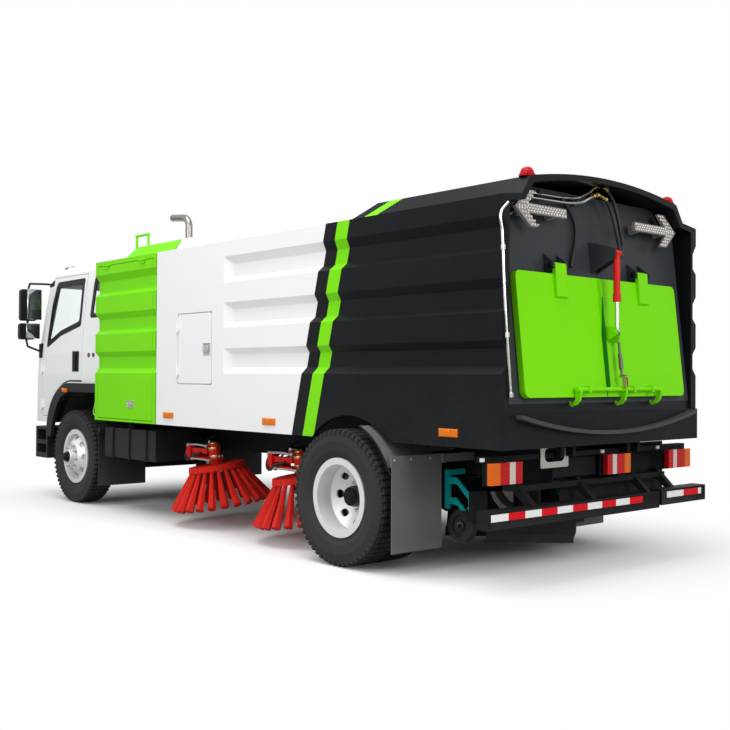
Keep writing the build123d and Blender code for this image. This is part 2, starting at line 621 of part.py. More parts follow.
def hinge_solids(at, along, door_side, carrier_side, drop):
    """One hinge about a point of its axis: (door's solids, carrier's solids).

    door_side and carrier_side point from the axis to either leaf, and drop from the axis
    towards the skins, which lie drop.length away.
    """
    axis = Vector(*at)
    step = Vector(*along)
    down = Vector(*drop)

    def leaf(side, low, high):
        reach = Vector(*side) * 34
        middle = axis + reach / 2 + step * (low + high) / 2 + down / 2
        size = [max(abs(reach.X), abs(down.X) + 2, abs(step.X) * (high - low)),
                max(abs(reach.Y), abs(down.Y) + 2, abs(step.Y) * (high - low)),
                max(abs(reach.Z), abs(down.Z) + 2, abs(step.Z) * (high - low))]
        start = middle + down.normalized()
        return slab(*[(c - s / 2, c + s / 2) for c, s in zip((start.X, start.Y, start.Z), size)])

    def bar(low, high, radius, bore=0.0):
        a = axis + step * low
        b = axis + step * high
        return rod((a.X, a.Y, a.Z), (b.X, b.Y, b.Z), radius, bore)

    with BuildPart() as moving:
        add(leaf(door_side, -BARREL_HALF, BARREL_HALF))
        add(bar(-BARREL_HALF, BARREL_HALF, BARREL_RADIUS))
        add(bar(-BARREL_HALF - 5, BARREL_HALF + 5, BARREL_PIN_RADIUS + PIN_CLEARANCE), mode=Mode.SUBTRACT)
    far = BARREL_HALF + SEAT_GAP
    fixed = [bar(-far - KNUCKLE_LENGTH, far + KNUCKLE_LENGTH, BARREL_PIN_RADIUS)]
    for low, high in ((-far - KNUCKLE_LENGTH, -far), (far, far + KNUCKLE_LENGTH)):
        fixed.append(bar(low, high, BARREL_RADIUS))
        fixed.append(leaf(carrier_side, low, high))
    return moving.part, fixed


BARREL_DROP = BARREL_RADIUS + 1.0

# small side door, hinged at its front edge
ACCESS_HINGE = (ACCESS_DOOR_X[1] - DOOR_GAP / 2, BODY_HALF_WIDTH + BARREL_DROP)
access_leaves = []
access_knuckles = []
for z in (ACCESS_DOOR_Z[0] + 120, ACCESS_DOOR_Z[1] - 120):
    moving, fixed = hinge_solids((ACCESS_HINGE[0], ACCESS_HINGE[1], z), (0, 0, 1), (-1, 0, 0), (1, 0, 0),
                                 (0, -BARREL_DROP, 0))
    access_leaves.append(moving)
    access_knuckles += fixed
with BuildPart() as access_door:
    with BuildSketch(Plane(origin=(0, BODY_HALF_WIDTH, 0), x_dir=(1, 0, 0), z_dir=(0, -1, 0))):
        with Locations((sum(ACCESS_DOOR_X) / 2, sum(ACCESS_DOOR_Z) / 2)):
            RectangleRounded(ACCESS_DOOR_X[1] - ACCESS_DOOR_X[0] - 2 * DOOR_GAP,
                             ACCESS_DOOR_Z[1] - ACCESS_DOOR_Z[0] - 2 * DOOR_GAP, 30)
    extrude(amount=ACCESS_DOOR_THICKNESS)
    for leaf in access_leaves:
        add(leaf)
keep("access_door", access_door.part)
keep("body_shell", body_shell.part, *access_knuckles)

# ---------------------------------------------------------------- engine compartment

COMPARTMENT_LENGTH = (COMPARTMENT_REAR_X, COMPARTMENT_FRONT_X)
SIDE_DOOR_X = (COMPARTMENT_REAR_X + SIDE_DOOR_MARGIN, COMPARTMENT_FRONT_X - SIDE_DOOR_MARGIN)
SIDE_DOOR_Z = (SIDE_DOOR_BOTTOM_Z, SIDE_DOOR_TOP_Z)
COMPARTMENT_FLOOR = 26.0
panel_grooves = grooves(COMPARTMENT_REAR_X, COMPARTMENT_FRONT_X, 0)
side_hinge_leaves = []
side_hinge_knuckles = []
for x in (SIDE_DOOR_X[0] + 200, SIDE_DOOR_X[1] - 200):
    moving, fixed = hinge_solids((x, BODY_HALF_WIDTH + BARREL_DROP, SIDE_DOOR_TOP_Z - DOOR_GAP / 2),
                                 (1, 0, 0), (0, 0, -1), (0, 0, 1), (0, -BARREL_DROP, 0))
    side_hinge_leaves.append(moving)
    side_hinge_knuckles += fixed
with BuildPart() as compartment:
    add(body_prism(0, 0, BODY_BOTTOM_Z, COMPARTMENT_LENGTH))
    add(prism_y([(CROWN_FRONT_X, LEDGE_Z + 4), (CROWN_FRONT_X - CROWN_FRONT_SLOPE, ROOF_TOP_Z + 40),
                 (COMPARTMENT_FRONT_X + 10, ROOF_TOP_Z + 40), (COMPARTMENT_FRONT_X + 10, LEDGE_Z + 4)],
                (-BODY_HALF_WIDTH, BODY_HALF_WIDTH)), mode=Mode.SUBTRACT)
    add(slab((COMPARTMENT_REAR_X + 30, COMPARTMENT_FRONT_X - 30),
             (-BODY_HALF_WIDTH + SIDE_WALL, BODY_HALF_WIDTH - SIDE_WALL),
             (BODY_BOTTOM_Z + COMPARTMENT_FLOOR, LEDGE_Z - ROOF_WALL - 30)), mode=Mode.SUBTRACT)
    add(body_prism(SIDE_WALL, ROOF_WALL, LEDGE_Z - 200,
                   (COMPARTMENT_REAR_X + 30, CROWN_FRONT_X - CROWN_FRONT_SLOPE - 60)), mode=Mode.SUBTRACT)
    add(panel_grooves, mode=Mode.SUBTRACT)
    add(mirrored(panel_grooves), mode=Mode.SUBTRACT)
    add(slab(SIDE_DOOR_X, (-BODY_HALF_WIDTH - 5, BODY_HALF_WIDTH + 5), SIDE_DOOR_Z), mode=Mode.SUBTRACT)
    for side in (-1, 1):
        add(slab(COMPARTMENT_LENGTH,
                 (side * BODY_BEAM_Y - BODY_BEAM_WIDTH / 2, side * BODY_BEAM_Y + BODY_BEAM_WIDTH / 2),
                 (RAIL_TOP_Z, BODY_BOTTOM_Z + 1)))
    for knuckle_solid in side_hinge_knuckles:
        add(knuckle_solid)
        add(mirrored(knuckle_solid))
    # guard loop on the roof's front corner
    for x in (CROWN_FRONT_X - 330, CROWN_FRONT_X - 90):
        add(rod((x, CROWN_Y - 10, LEDGE_Z + 60), (x, CROWN_Y - 10, CROWN_Z + 130), 13))
    add(rod((CROWN_FRONT_X - 343, CROWN_Y - 10, CROWN_Z + 118),
            (CROWN_FRONT_X - 77, CROWN_Y - 10, CROWN_Z + 118), 13))
keep("engine_compartment", compartment.part)

with BuildPart() as side_door:
    add(slab((SIDE_DOOR_X[0] + DOOR_GAP, SIDE_DOOR_X[1] - DOOR_GAP),
             (BODY_HALF_WIDTH - SIDE_WALL, BODY_HALF_WIDTH),
             (SIDE_DOOR_Z[0] + DOOR_GAP, SIDE_DOOR_Z[1] - DOOR_GAP)))
    add(panel_grooves, mode=Mode.SUBTRACT)
    for leaf in side_hinge_leaves:
        add(leaf)
keep("compartment_door_left", side_door.part)
keep("compartment_door_right", mirrored(side_door.part))

floor_top = SIDE_DOOR_BOTTOM_Z
keep("sweeping_engine",
     slab((COMPARTMENT_REAR_X + 260, COMPARTMENT_FRONT_X - 160), (-330, 330), (floor_top, floor_top + 820)))

EXHAUST_X = REAR_AXLE_X + 3567.0
EXHAUST_Y = 350.0
EXHAUST_RADIUS = 38.0
EXHAUST_TOP_Z = 3085.0
with BuildPart() as exhaust:
    with BuildLine() as exhaust_path:
        FilletPolyline((EXHAUST_X, EXHAUST_Y, ROOF_TOP_Z - 15), (EXHAUST_X, EXHAUST_Y, EXHAUST_TOP_Z),
                       (EXHAUST_X + 330, EXHAUST_Y, EXHAUST_TOP_Z + 35), radius=110)
    with BuildSketch(Plane(origin=exhaust_path.line @ 0, z_dir=exhaust_path.line % 0)):
        Circle(EXHAUST_RADIUS)
        Circle(EXHAUST_RADIUS - 4, mode=Mode.SUBTRACT)
    sweep()
with BuildPart() as exhaust_pipe:
    add(exhaust.part)
    add(body_prism(0, 0, BODY_BOTTOM_Z, COMPARTMENT_LENGTH), mode=Mode.SUBTRACT)
keep("exhaust_pipe", exhaust_pipe.part)

# ---------------------------------------------------------------- rear wall and its lip

APRON_TOP_Z = 1172.0
APRON_THICKNESS = 14.0
wall_inner = BODY_HALF_WIDTH - SIDE_WALL
with BuildPart() as rear_wall_piece:
    with BuildSketch(rear_plane(-REAR_WALL_THICKNESS)):
        with Locations((0, REAR_WALL_TOP / 2 - 60)):
            Rectangle(2 * wall_inner, REAR_WALL_TOP + 120)
    extrude(amount=REAR_WALL_THICKNESS)
    add(body_prism(SIDE_WALL, ROOF_WALL, FLOOR_Z + FLOOR_THICKNESS, (BODY_REAR_X, BODY_REAR_X + 600)),
        mode=Mode.INTERSECT)
    with BuildSketch(rear_plane(-REAR_WALL_THICKNESS - 20)):
        with Locations((0, (CHUTE_BOTTOM + CHUTE_TOP) / 2)):
            RectangleRounded(2 * CHUTE_HALF_WIDTH, CHUTE_TOP - CHUTE_BOTTOM, 60)
    extrude(amount=REAR_WALL_THICKNESS + 40, mode=Mode.SUBTRACT)
    add(slab((BODY_REAR_X - APRON_THICKNESS, BODY_REAR_X), (-BODY_HALF_WIDTH, BODY_HALF_WIDTH),
             (BODY_BOTTOM_Z, APRON_TOP_Z)))
    add(slab((BODY_REAR_X - 1, REAR_WALL_X + 10), (-wall_inner, wall_inner),
             (APRON_TOP_Z - 12, APRON_TOP_Z)))
    # hinge ears and pins of the discharge door, and the gusset of its cylinder
    for side in (-1, 1):
        for inner in (-1, 1):
            y = side * DOOR_HINGE_Y + inner * (60 + 3 + 8)
            outline = [rear_wall(DOOR_TOP + 12, -2), rear_wall(DOOR_HINGE_T - 20, DOOR_HINGE_N + 18),
                       rear_wall(DOOR_HINGE_T + 20, DOOR_HINGE_N + 18), rear_wall(DOOR_HINGE_T + 95, -2)]
            add(prism_y(outline, (y - 8, y + 8)))
        add(rod(on_wall(DOOR_HINGE_T, DOOR_HINGE_N, side * DOOR_HINGE_Y - 70),
                on_wall(DOOR_HINGE_T, DOOR_HINGE_N, side * DOOR_HINGE_Y + 70), HINGE_PIN_RADIUS))
    for side in (-1, 1):
        outline = [rear_wall(CYLINDER_PIN[0] - 110, -2),
                   rear_wall(CYLINDER_PIN[0] - 30, CYLINDER_PIN[1] + 16),
                   rear_wall(CYLINDER_PIN[0] + 22, CYLINDER_PIN[1] + 22),
                   rear_wall(CYLINDER_PIN[0] + 120, -2)]
        add(prism_y(outline, sorted((side * (CYLINDER_EYE / 2 + 3), side * (CYLINDER_EYE / 2 + 11)))))
    add(rod(on_wall(*CYLINDER_PIN, -CYLINDER_EYE / 2 - 8), on_wall(*CYLINDER_PIN, CYLINDER_EYE / 2 + 8),
            10))

LIP_HALF = 1030.0
LIP_END_Z = 1192.0
LIP_MIDDLE_Z = 1040.0
LIP_HEIGHT = 26.0
LIP_DEPTH = 62.0
with BuildPart() as spill_lip:
    with BuildSketch(Plane(origin=(BODY_REAR_X - APRON_THICKNESS, 0, 0), x_dir=(0, -1, 0),
                           z_dir=(-1, 0, 0))):
        with BuildLine():
            ThreePointArc((-LIP_HALF, LIP_END_Z - 26), (0, LIP_MIDDLE_Z), (LIP_HALF, LIP_END_Z - 26))
            Line((LIP_HALF, LIP_END_Z - 26), (LIP_HALF, LIP_END_Z - 26 - LIP_HEIGHT))
            ThreePointArc((LIP_HALF, LIP_END_Z - 26 - LIP_HEIGHT), (0, LIP_MIDDLE_Z - LIP_HEIGHT),
                          (-LIP_HALF, LIP_END_Z - 26 - LIP_HEIGHT))
            Line((-LIP_HALF, LIP_END_Z - 26 - LIP_HEIGHT), (-LIP_HALF, LIP_END_Z - 26))
        make_face()
    extrude(amount=LIP_DEPTH)
keep("rear_wall", rear_wall_piece.part, spill_lip.part)

# ---------------------------------------------------------------- discharge door and its cylinder

door_face = DOOR_SEAT + DOOR_RIM_DEPTH
LUG_HALF = 60.0
CLEVIS_HALF = 27.0
CLEVIS_GAP = 18.0
LOCK_T = 118.0
LOCK_N = 97.0
LOCK_RADIUS = 15.0
LOCK_BEARINGS_Y = (330.0, -200.0, -430.0)
LINK_Y = -62.0
LINK_TOP = (470.0, 112.0)
LINK_BOTTOM = (140.0, 138.0)
LINK_RADIUS = 9.0
with BuildPart() as discharge_door:
    with BuildSketch(rear_plane(DOOR_SEAT)):
        with Locations((0, (DOOR_BOTTOM + DOOR_TOP) / 2)):
            RectangleRounded(2 * DOOR_HALF_WIDTH, DOOR_TOP - DOOR_BOTTOM, DOOR_CORNER)
    extrude(amount=DOOR_RIM_DEPTH)
    with BuildSketch(rear_plane(DOOR_SEAT)):
        with Locations((0, (DOOR_BOTTOM + DOOR_TOP) / 2)):
            RectangleRounded(2 * (DOOR_HALF_WIDTH - DOOR_SHEET), DOOR_TOP - DOOR_BOTTOM - 2 * DOOR_SHEET,
                             DOOR_CORNER - DOOR_SHEET)
    extrude(amount=DOOR_RIM_DEPTH - DOOR_SHEET, mode=Mode.SUBTRACT)
    for side in (-1, 1):
        y = side * DOOR_HINGE_Y
        outline = [rear_wall(DOOR_TOP - 170, door_face - 1), rear_wall(DOOR_TOP - 160, door_face + 24),
                   rear_wall(DOOR_HINGE_T, DOOR_HINGE_N + 20), rear_wall(DOOR_HINGE_T, DOOR_HINGE_N - 10),
                   rear_wall(DOOR_TOP - 10, door_face - 1)]
        add(prism_y(outline, (y - LUG_HALF, y + LUG_HALF)))
        add(rod(on_wall(DOOR_HINGE_T, DOOR_HINGE_N, y - LUG_HALF),
                on_wall(DOOR_HINGE_T, DOOR_HINGE_N, y + LUG_HALF), 21))
        add(rod(on_wall(DOOR_HINGE_T, DOOR_HINGE_N, y - 90), on_wall(DOOR_HINGE_T, DOOR_HINGE_N, y + 90),
                HINGE_PIN_RADIUS + PIN_CLEARANCE), mode=Mode.SUBTRACT)
        # clevis of the cylinder rod: an ear on either side of its eye
        clevis = [rear_wall(ROD_PIN[0] - 70, door_face - 1), rear_wall(ROD_PIN[0] - 24, ROD_PIN[1] + 14),
                  rear_wall(ROD_PIN[0] + 24, ROD_PIN[1] + 14), rear_wall(ROD_PIN[0] + 50, door_face - 1)]
        add(prism_y(clevis, sorted((side * CLEVIS_GAP, side * CLEVIS_HALF))))
        add(rod(on_wall(*ROD_PIN, side * CLEVIS_HALF - side * 1),
                on_wall(*ROD_PIN, side * (CLEVIS_HALF + 8)), 12))
    # stiffening rib beside the cylinder
    add(prism_y([rear_wall(DOOR_BOTTOM + 60, door_face - 1), rear_wall(DOOR_BOTTOM + 70, door_face + 30),
                 rear_wall(DOOR_TOP - 30, door_face + 30), rear_wall(DOOR_TOP - 10, door_face - 1)],
                 (44, 54)))
    # bearings of the lock shaft and guide of the pull link
    for y in LOCK_BEARINGS_Y:
        add(prism_y([rear_wall(LOCK_T - 24, door_face - 1), rear_wall(LOCK_T - 24, LOCK_N + 24),
                     rear_wall(LOCK_T + 24, LOCK_N + 24), rear_wall(LOCK_T + 24, door_face - 1)],
                     (y - 12, y + 12)))
    add(rod(on_wall(LOCK_T, LOCK_N, -700), on_wall(LOCK_T, LOCK_N, 700), LOCK_RADIUS + PIN_CLEARANCE),
        mode=Mode.SUBTRACT)
    add(prism_y([rear_wall(LINK_TOP[0] - 16, door_face - 1), rear_wall(LINK_TOP[0] - 16, LINK_TOP[1] + 20),
                 rear_wall(LINK_TOP[0] + 16, LINK_TOP[1] + 20), rear_wall(LINK_TOP[0] + 16, door_face - 1)],
                (LINK_Y - 20, LINK_Y + 20)))
    add(rod(on_wall(LINK_TOP[0] - 60, LINK_TOP[1], LINK_Y), on_wall(LINK_TOP[0] + 60, LINK_TOP[1], LINK_Y),
            LINK_RADIUS + PIN_CLEARANCE), mode=Mode.SUBTRACT)
keep("discharge_door", discharge_door.part)

lock_solids = [rod(on_wall(LOCK_T, LOCK_N, -560), on_wall(LOCK_T, LOCK_N, 450), LOCK_RADIUS)]
for y in (430.0, -100.0, -540.0):
    hook = [rear_wall(LOCK_T + 22, LOCK_N + 8), rear_wall(LOCK_T + 14, LOCK_N - 20),
            rear_wall(60, LOCK_N - 30),
            rear_wall(40, 52), rear_wall(30, 26), rear_wall(46, 12), rear_wall(24, 10), rear_wall(8, 24),
            rear_wall(16, 66), rear_wall(40, LOCK_N), rear_wall(LOCK_T - 20, LOCK_N + 22)]
    lock_solids.append(prism_y(hook, (y - 9, y + 9)))
lock_solids.append(prism_y([rear_wall(LOCK_T - 20, LOCK_N),
                            rear_wall(LINK_BOTTOM[0] - 18, LINK_BOTTOM[1] + 6),
                            rear_wall(LINK_BOTTOM[0] + 10, LINK_BOTTOM[1] + 6),
                            rear_wall(LOCK_T + 20, LOCK_N)],
                           (LINK_Y - 5, LINK_Y + 5)))
keep("lock_shaft", *lock_solids)

link_low = LINK_BOTTOM[0] + 60
link_n = LINK_TOP[1]
with BuildPart() as pull_link:
    add(rod(on_wall(link_low, link_n, LINK_Y), on_wall(LINK_TOP[0] + 50, link_n, LINK_Y), LINK_RADIUS))
    add(rod(on_wall(link_low + 60, link_n, LINK_Y), on_wall(link_low + 170, link_n, LINK_Y), 15))
    add(prism_y([rear_wall(link_low, link_n - 16), rear_wall(link_low, link_n + 40),
                 rear_wall(link_low + 16, link_n + 40), rear_wall(link_low + 16, link_n - 16)],
                (LINK_Y - 16, LINK_Y + 16)))
    for side in (-1, 1):
        add(prism_y([rear_wall(link_low + 10, link_n + 10), rear_wall(link_low + 10, link_n + 40),
                     rear_wall(LINK_BOTTOM[0] - 12, link_n + 40),
                     rear_wall(LINK_BOTTOM[0] - 12, link_n + 10)],
                    sorted((LINK_Y + side * 10, LINK_Y + side * 16))))
keep("lock_pull_link", pull_link.part)

pin_x, pin_z = rear_wall(*CYLINDER_PIN)
rod_x, rod_z = rear_wall(*ROD_PIN)
cylinder_span = hypot(rod_x - pin_x, rod_z - pin_z)
CYLINDER_BARREL = 345.0
ROD_OVERLAP = 100.0


def along_cylinder(distance, y=0.0):
    share = distance / cylinder_span
    return (pin_x + (rod_x - pin_x) * share, y, pin_z + (rod_z - pin_z) * share)


with BuildPart() as cylinder_barrel:
    add(rod((pin_x, -CYLINDER_EYE / 2, pin_z), (pin_x, CYLINDER_EYE / 2, pin_z), 24))
    add(rod(along_cylinder(14), along_cylinder(CYLINDER_BARREL), CYLINDER_RADIUS))
    add(rod(along_cylinder(CYLINDER_BARREL - 60), along_cylinder(CYLINDER_BARREL), CYLINDER_RADIUS + 5))
    add(rod(along_cylinder(40), along_cylinder(CYLINDER_BARREL + 5), ROD_RADIUS + PIN_CLEARANCE),
        mode=Mode.SUBTRACT)
    add(rod((pin_x, -40, pin_z), (pin_x, 40, pin_z), 10 + PIN_CLEARANCE), mode=Mode.SUBTRACT)
keep("door_cylinder_barrel", cylinder_barrel.part)
with BuildPart() as cylinder_rod:
    add(rod(along_cylinder(CYLINDER_BARREL - ROD_OVERLAP), along_cylinder(cylinder_span - 12), ROD_RADIUS))
    add(rod((rod_x, -14, rod_z), (rod_x, 14, rod_z), 18))
    add(rod((rod_x, -20, rod_z), (rod_x, 20, rod_z), 10), mode=Mode.SUBTRACT)
keep("door_cylinder_rod", cylinder_rod.part)

# ---------------------------------------------------------------- lines, lamps and boards on the rear

line_solids = []
for step in (0, 1):
    out = 28 + step * 30
    drop = step * 44
    path = [on_wall(1290 - drop, out, 1050), on_wall(1345 - drop, out, 930), on_wall(1470 - drop, out, 790),
            on_wall(1480 - drop, out, 330), on_wall(1495 - drop, out, 180)]
    with BuildPart() as line:
        with BuildLine() as route:
            FilletPolyline(*path, radius=60)
        with BuildSketch(Plane(origin=route.line @ 0, z_dir=route.line % 0)):
            Circle(9)
        sweep()
    line_solids.append(line.part)
for y, half in ((600, 4), (240, 4)):
    line_solids.append(prism_y([rear_wall(1425, 0), rear_wall(1425, 68), rear_wall(1505, 40),
                                rear_wall(1505, 0)],
                               (y - half, y + half)))
keep("hydraulic_lines", *line_solids)

ARROW_Y = 700.0
ARROW_T = 1335.0
ARROW_OUT = 84.0
ARROW_THICKNESS = 26.0
arrow_solids = []
ARROW = [(-290, 32), (115, 32), (35, 125), (110, 125), (255, 0), (110, -125), (35, -125), (115, -32),
         (-290, -32)]
for side in (-1, 1):
    with BuildPart() as board:
        with BuildSketch(rear_plane(ARROW_OUT)):
            with BuildLine():
                Polyline(*[(-side * (ARROW_Y + a), ARROW_T + t) for a, t in ARROW], close=True)
            make_face()
        extrude(amount=ARROW_THICKNESS)
        for a in (-200, 120):
            with BuildSketch(rear_plane(0)):
                with Locations((-side * (ARROW_Y + a), ARROW_T)):
                    Rectangle(40, 60)
            extrude(amount=ARROW_OUT + 1)
    arrow_solids.append(board.part)
keep("arrow_boards", *arrow_solids)

BEACON_X = BODY_REAR_X + 62.0
beacons = []
for side in (-1, 1):
    y = side * (CROWN_Y - 35)
    with BuildPart() as beacon:
        with BuildSketch(Plane(origin=(BEACON_X, y, CROWN_Z + 4), x_dir=(1, 0, 0), z_dir=(0, -1, 0))):
            with BuildLine():
                Line((0, 0), (56, 0))
                Line((56, 0), (56, 14))
                Polyline((56, 14), (48, 16), (46, 34), (36, 52), (18, 62), (0, 64), (0, 0))
            make_face()
        revolve(axis=Axis((BEACON_X, y, 0), (0, 0, 1)))
        add(body_prism(0, 0, BODY_BOTTOM_Z, (BODY_REAR_X, BODY_REAR_X + 400)), mode=Mode.SUBTRACT)
    beacons.append(beacon.part)
keep("beacons", *beacons)

LAMP_DEPTH = 62.0
lamp_back = LAMP_BAR_X - 12
lamps = []
for low, high in TAIL_LAMPS_Y:
    lamps.append(slab((lamp_back - LAMP_DEPTH, lamp_back), (low, high), LAMP_Z))
keep("tail_lamps", *lamps)

with BuildPart() as hose_plate:
    add(slab((lamp_back - 6, lamp_back), (312, 622), (786, 884)))
    add(slab((lamp_back - 6, lamp_back), (352, 582), (826, 890)), mode=Mode.SUBTRACT)

BUMPER_X = (REAR_AXLE_X - 1520.0, REAR_AXLE_X - 1410.0)
BUMPER_Z = (438.0, 556.0)
bumper_solids = [
    slab(BUMPER_X, (-625, 1270), BUMPER_Z),
    slab(BUMPER_X, (-1270, -655), (BUMPER_Z[0] + 14, BUMPER_Z[1] + 14)),
]
for y in (780.0, 120.0, -560.0, -900.0):
    foot = BUMPER_Z[1] - 20
    bumper_solids.append(prism_y([(BUMPER_X[0] + 20, foot), (BUMPER_X[0] + 80, foot),
                                  (RAIL_REAR_X + 120, 700), (RAIL_REAR_X + 20, 700)], (y - 25, y + 25)))
bumper_solids.append(slab((RAIL_REAR_X - 10, RAIL_REAR_X + 120), (-950, 820),
                          (640, RAIL_TOP_Z - RAIL_HEIGHT)))
keep("rear_bumper", *bumper_solids)

# ---------------------------------------------------------------- cab

def cab_form(inset):
    """The cab's whole form, or the same form inset by a wall."""
    with BuildPart() as form:
        for row, (z, front, half, corner) in enumerate(CAB_SECTIONS):
            if row == 0:
                z = z - 1 if inset else z
            if row == len(CAB_SECTIONS) - 1:
                z = z - inset
            x0 = CAB_REAR_X + inset
            x1 = FRONT_AXLE_X + front - inset
            y = half - inset
            with BuildSketch(Plane.XY.offset(z)) as section:
                with BuildLine():
                    Line((x1, -y), (x0, -y))
                    Line((x0, -y), (x0, y))
                    Line((x0, y), (x1, y))
                    ThreePointArc((x1, y), (x1 + CAB_FRONT_BULGE, 0), (x1, -y))
                make_face()
                fillet(section.vertices().group_by(Axis.X)[-1], corner - inset * 0.6)
                fillet(section.vertices().group_by(Axis.X)[0], 50 - inset * 0.4)
        loft(ruled=True)
    return form.part


def from_front(points):
    return [(FRONT_AXLE_X + x, z) for x, z in points]


def inward(point, dx, dz):
    return (point[0] + dx, point[1] + dz)


def offset_line(points, out):
    """The points moved forward and up by a distance, square to the line through them."""
    moved = []
    for row, (x, z) in enumerate(points):
        before = points[max(row - 1, 0)]
        after = points[min(row + 1, len(points) - 1)]
        run, rise = after[0] - before[0], after[1] - before[1]
        length = hypot(run, rise)
        moved.append((x + out * rise / length, z - out * run / length))
    return moved


BELOW_CAB_Z = 500.0
arch_outline = from_front(CAB_ARCH + [(-700.0, BELOW_CAB_Z), (CAB_ARCH[0][0], BELOW_CAB_Z)])
floor_line = offset_line(CAB_ARCH, CAB_WALL)
arch_inner = from_front(floor_line + [(-700.0, BELOW_CAB_Z), (floor_line[0][0], BELOW_CAB_Z)])
far_out = 1300.0
cab_outer = cab_form(0)
with BuildPart() as cab_walls:
    add(cab_outer)
    add(prism_y(arch_outline, (-far_out, far_out)), mode=Mode.SUBTRACT)
    with BuildPart(mode=Mode.PRIVATE) as cavity:
        add(cab_form(CAB_WALL))
        add(prism_y(arch_inner, (-far_out, far_out)), mode=Mode.SUBTRACT)
    add(cavity.part, mode=Mode.SUBTRACT)


def cab_door_outline(rear_room, arch_room):
    """The cab door's outline: rear top, round the front, then back over the flare."""
    over_flare = offset_line(FLARE_EDGE[2:], DOOR_ABOVE_FLARE + arch_room)
    foot_x = FLARE_EDGE[1][0] + DOOR_ABOVE_FLARE + arch_room
    return from_front([
        inward(DOOR_REAR_TOP, rear_room, 0), DOOR_FRONT_TOP, DOOR_FRONT_BELT,
        (DOOR_FRONT_BELT[0], DOOR_FOOT_Z), (foot_x, DOOR_FOOT_Z), *over_flare[:-1],
        (DOOR_REAR_FOOT_X, FLARE_TOP + DOOR_ABOVE_FLARE + arch_room),
    ])


side_y = (760.0, far_out)


def cab_door_block(outline, gap):
    """The outline, shrunk by a gap, carried through the cab's left side."""
    with BuildPart() as block:
        with BuildSketch(Plane(origin=(0, side_y[0], 0), x_dir=(1, 0, 0), z_dir=(0, -1, 0))):
            with BuildLine():
                Polyline(*outline, close=True)
            make_face()
            if gap:
                offset(amount=-gap)
        extrude(amount=-(side_y[1] - side_y[0]))
    return block.part


def window_prism(outline):
    """A cab side window's opening, with its corners rounded."""
    with BuildPart() as opening:
        with BuildSketch(Plane(origin=(0, side_y[0], 0), x_dir=(1, 0, 0), z_dir=(0, -1, 0))) as shape:
            with BuildLine():
                Polyline(*from_front(outline), close=True)
            make_face()
            fillet(shape.vertices(), WINDOW_CORNER)
        extrude(amount=-(side_y[1] - side_y[0]))
    return opening.part


WINDOW_CORNER = 38.0
door_window = [(-58, 2488), (652, 2482), (750, 2200), (806, 1704), (440, 1850), (-50, 1950)]
quarter_window = [(-283, 2486), (-240, 2030), (-520, 2030), (-520, 2486)]
windscreen = [(-880, 1705), (-790, 2440), (790, 2440), (880, 1705)]
rear_window = [(-520, 2020), (-520, 2400), (520, 2400), (520, 2020)]
FRAME_TUNNEL_HALF = 470.0

door_region = cab_door_block(cab_door_outline(0, 0), 0)
frame_tunnel = slab((FRONT_AXLE_X + 400, FRONT_AXLE_X + 1060), (-FRAME_TUNNEL_HALF, FRAME_TUNNEL_HALF),
                    (600, 925))
windscreen_prism = prism_x(windscreen, (FRONT_AXLE_X + 430, FRONT_AXLE_X + 1400))
rear_window_prism = prism_x(rear_window, (CAB_REAR_X - 50, CAB_REAR_X + 150))
quarter_prism = window_prism(quarter_window)
door_window_prism = window_prism(door_window)

cab_hinge_x = FRONT_AXLE_X + DOOR_FRONT_BELT[0] - DOOR_GAP / 2
cab_hinge_y = 1032.0 + BARREL_RADIUS
cab_leaves = []
cab_knuckles = []
for z in (1060.0, 1480.0):
    moving, fixed = hinge_solids((cab_hinge_x, cab_hinge_y, z), (0, 0, 1), (-1, 0, 0), (1, 0, 0),
                                 (0, -22, 0))
    cab_leaves.append(moving)
    cab_knuckles += fixed

# grille: low edge, high edge, how far it stands out
GRILLE_BARS = [(1170.0, 1404.0, 4.0), (1180.0, 1214.0, 15.0), (1240.0, 1274.0, 15.0),
               (1300.0, 1334.0, 15.0),
               (1360.0, 1394.0, 15.0)]


def cab_front(z):
    """Foremost X of the cab's lower face at a height."""
    (z0, x0), (z1, x1) = CAB_SECTIONS[0][:2], CAB_SECTIONS[1][:2]
    return FRONT_AXLE_X + CAB_FRONT_BULGE + x0 + (x1 - x0) * (z - z0) / (z1 - z0)


def grille_prism(low, high, proud, half):
    return prism_y([(cab_front(low) - GRILLE_SEAT, low), (cab_front(low) + proud, low),
                    (cab_front(high) + proud, high), (cab_front(high) - GRILLE_SEAT, high)], (-half, half))


GRILLE_HALF = 560.0
GRILLE_SEAT = 20.0
grille_recess = grille_prism(GRILLE_BARS[0][0], GRILLE_BARS[0][1], 80.0, GRILLE_HALF)
with BuildPart() as cab_shell:
    add(cab_walls.part)
    for region in (door_region, mirrored(door_region), windscreen_prism, rear_window_prism,
                   quarter_prism, mirrored(quarter_prism), frame_tunnel, grille_recess):
        add(region, mode=Mode.SUBTRACT)
    for solid in cab_knuckles:
        add(solid)
        add(mirrored(solid))
    for side in (-1, 1):
        boss = (TILT_LUG_Y + 26, TILT_LUG_Y + 64)
        add(rod((TILT_X, side * boss[0], TILT_Z), (TILT_X, side * boss[1], TILT_Z), 21))
        add(slab((TILT_X, TILT_X + 40), sorted((side * boss[0], side * boss[1])),
                 (TILT_Z - 7, TILT_Z + 20)))
        add(rod((TILT_X, side * 300, TILT_Z), (TILT_X, side * 500, TILT_Z),
                TILT_PIN_RADIUS + PIN_CLEARANCE),
            mode=Mode.SUBTRACT)
keep("cab_shell", cab_shell.part)

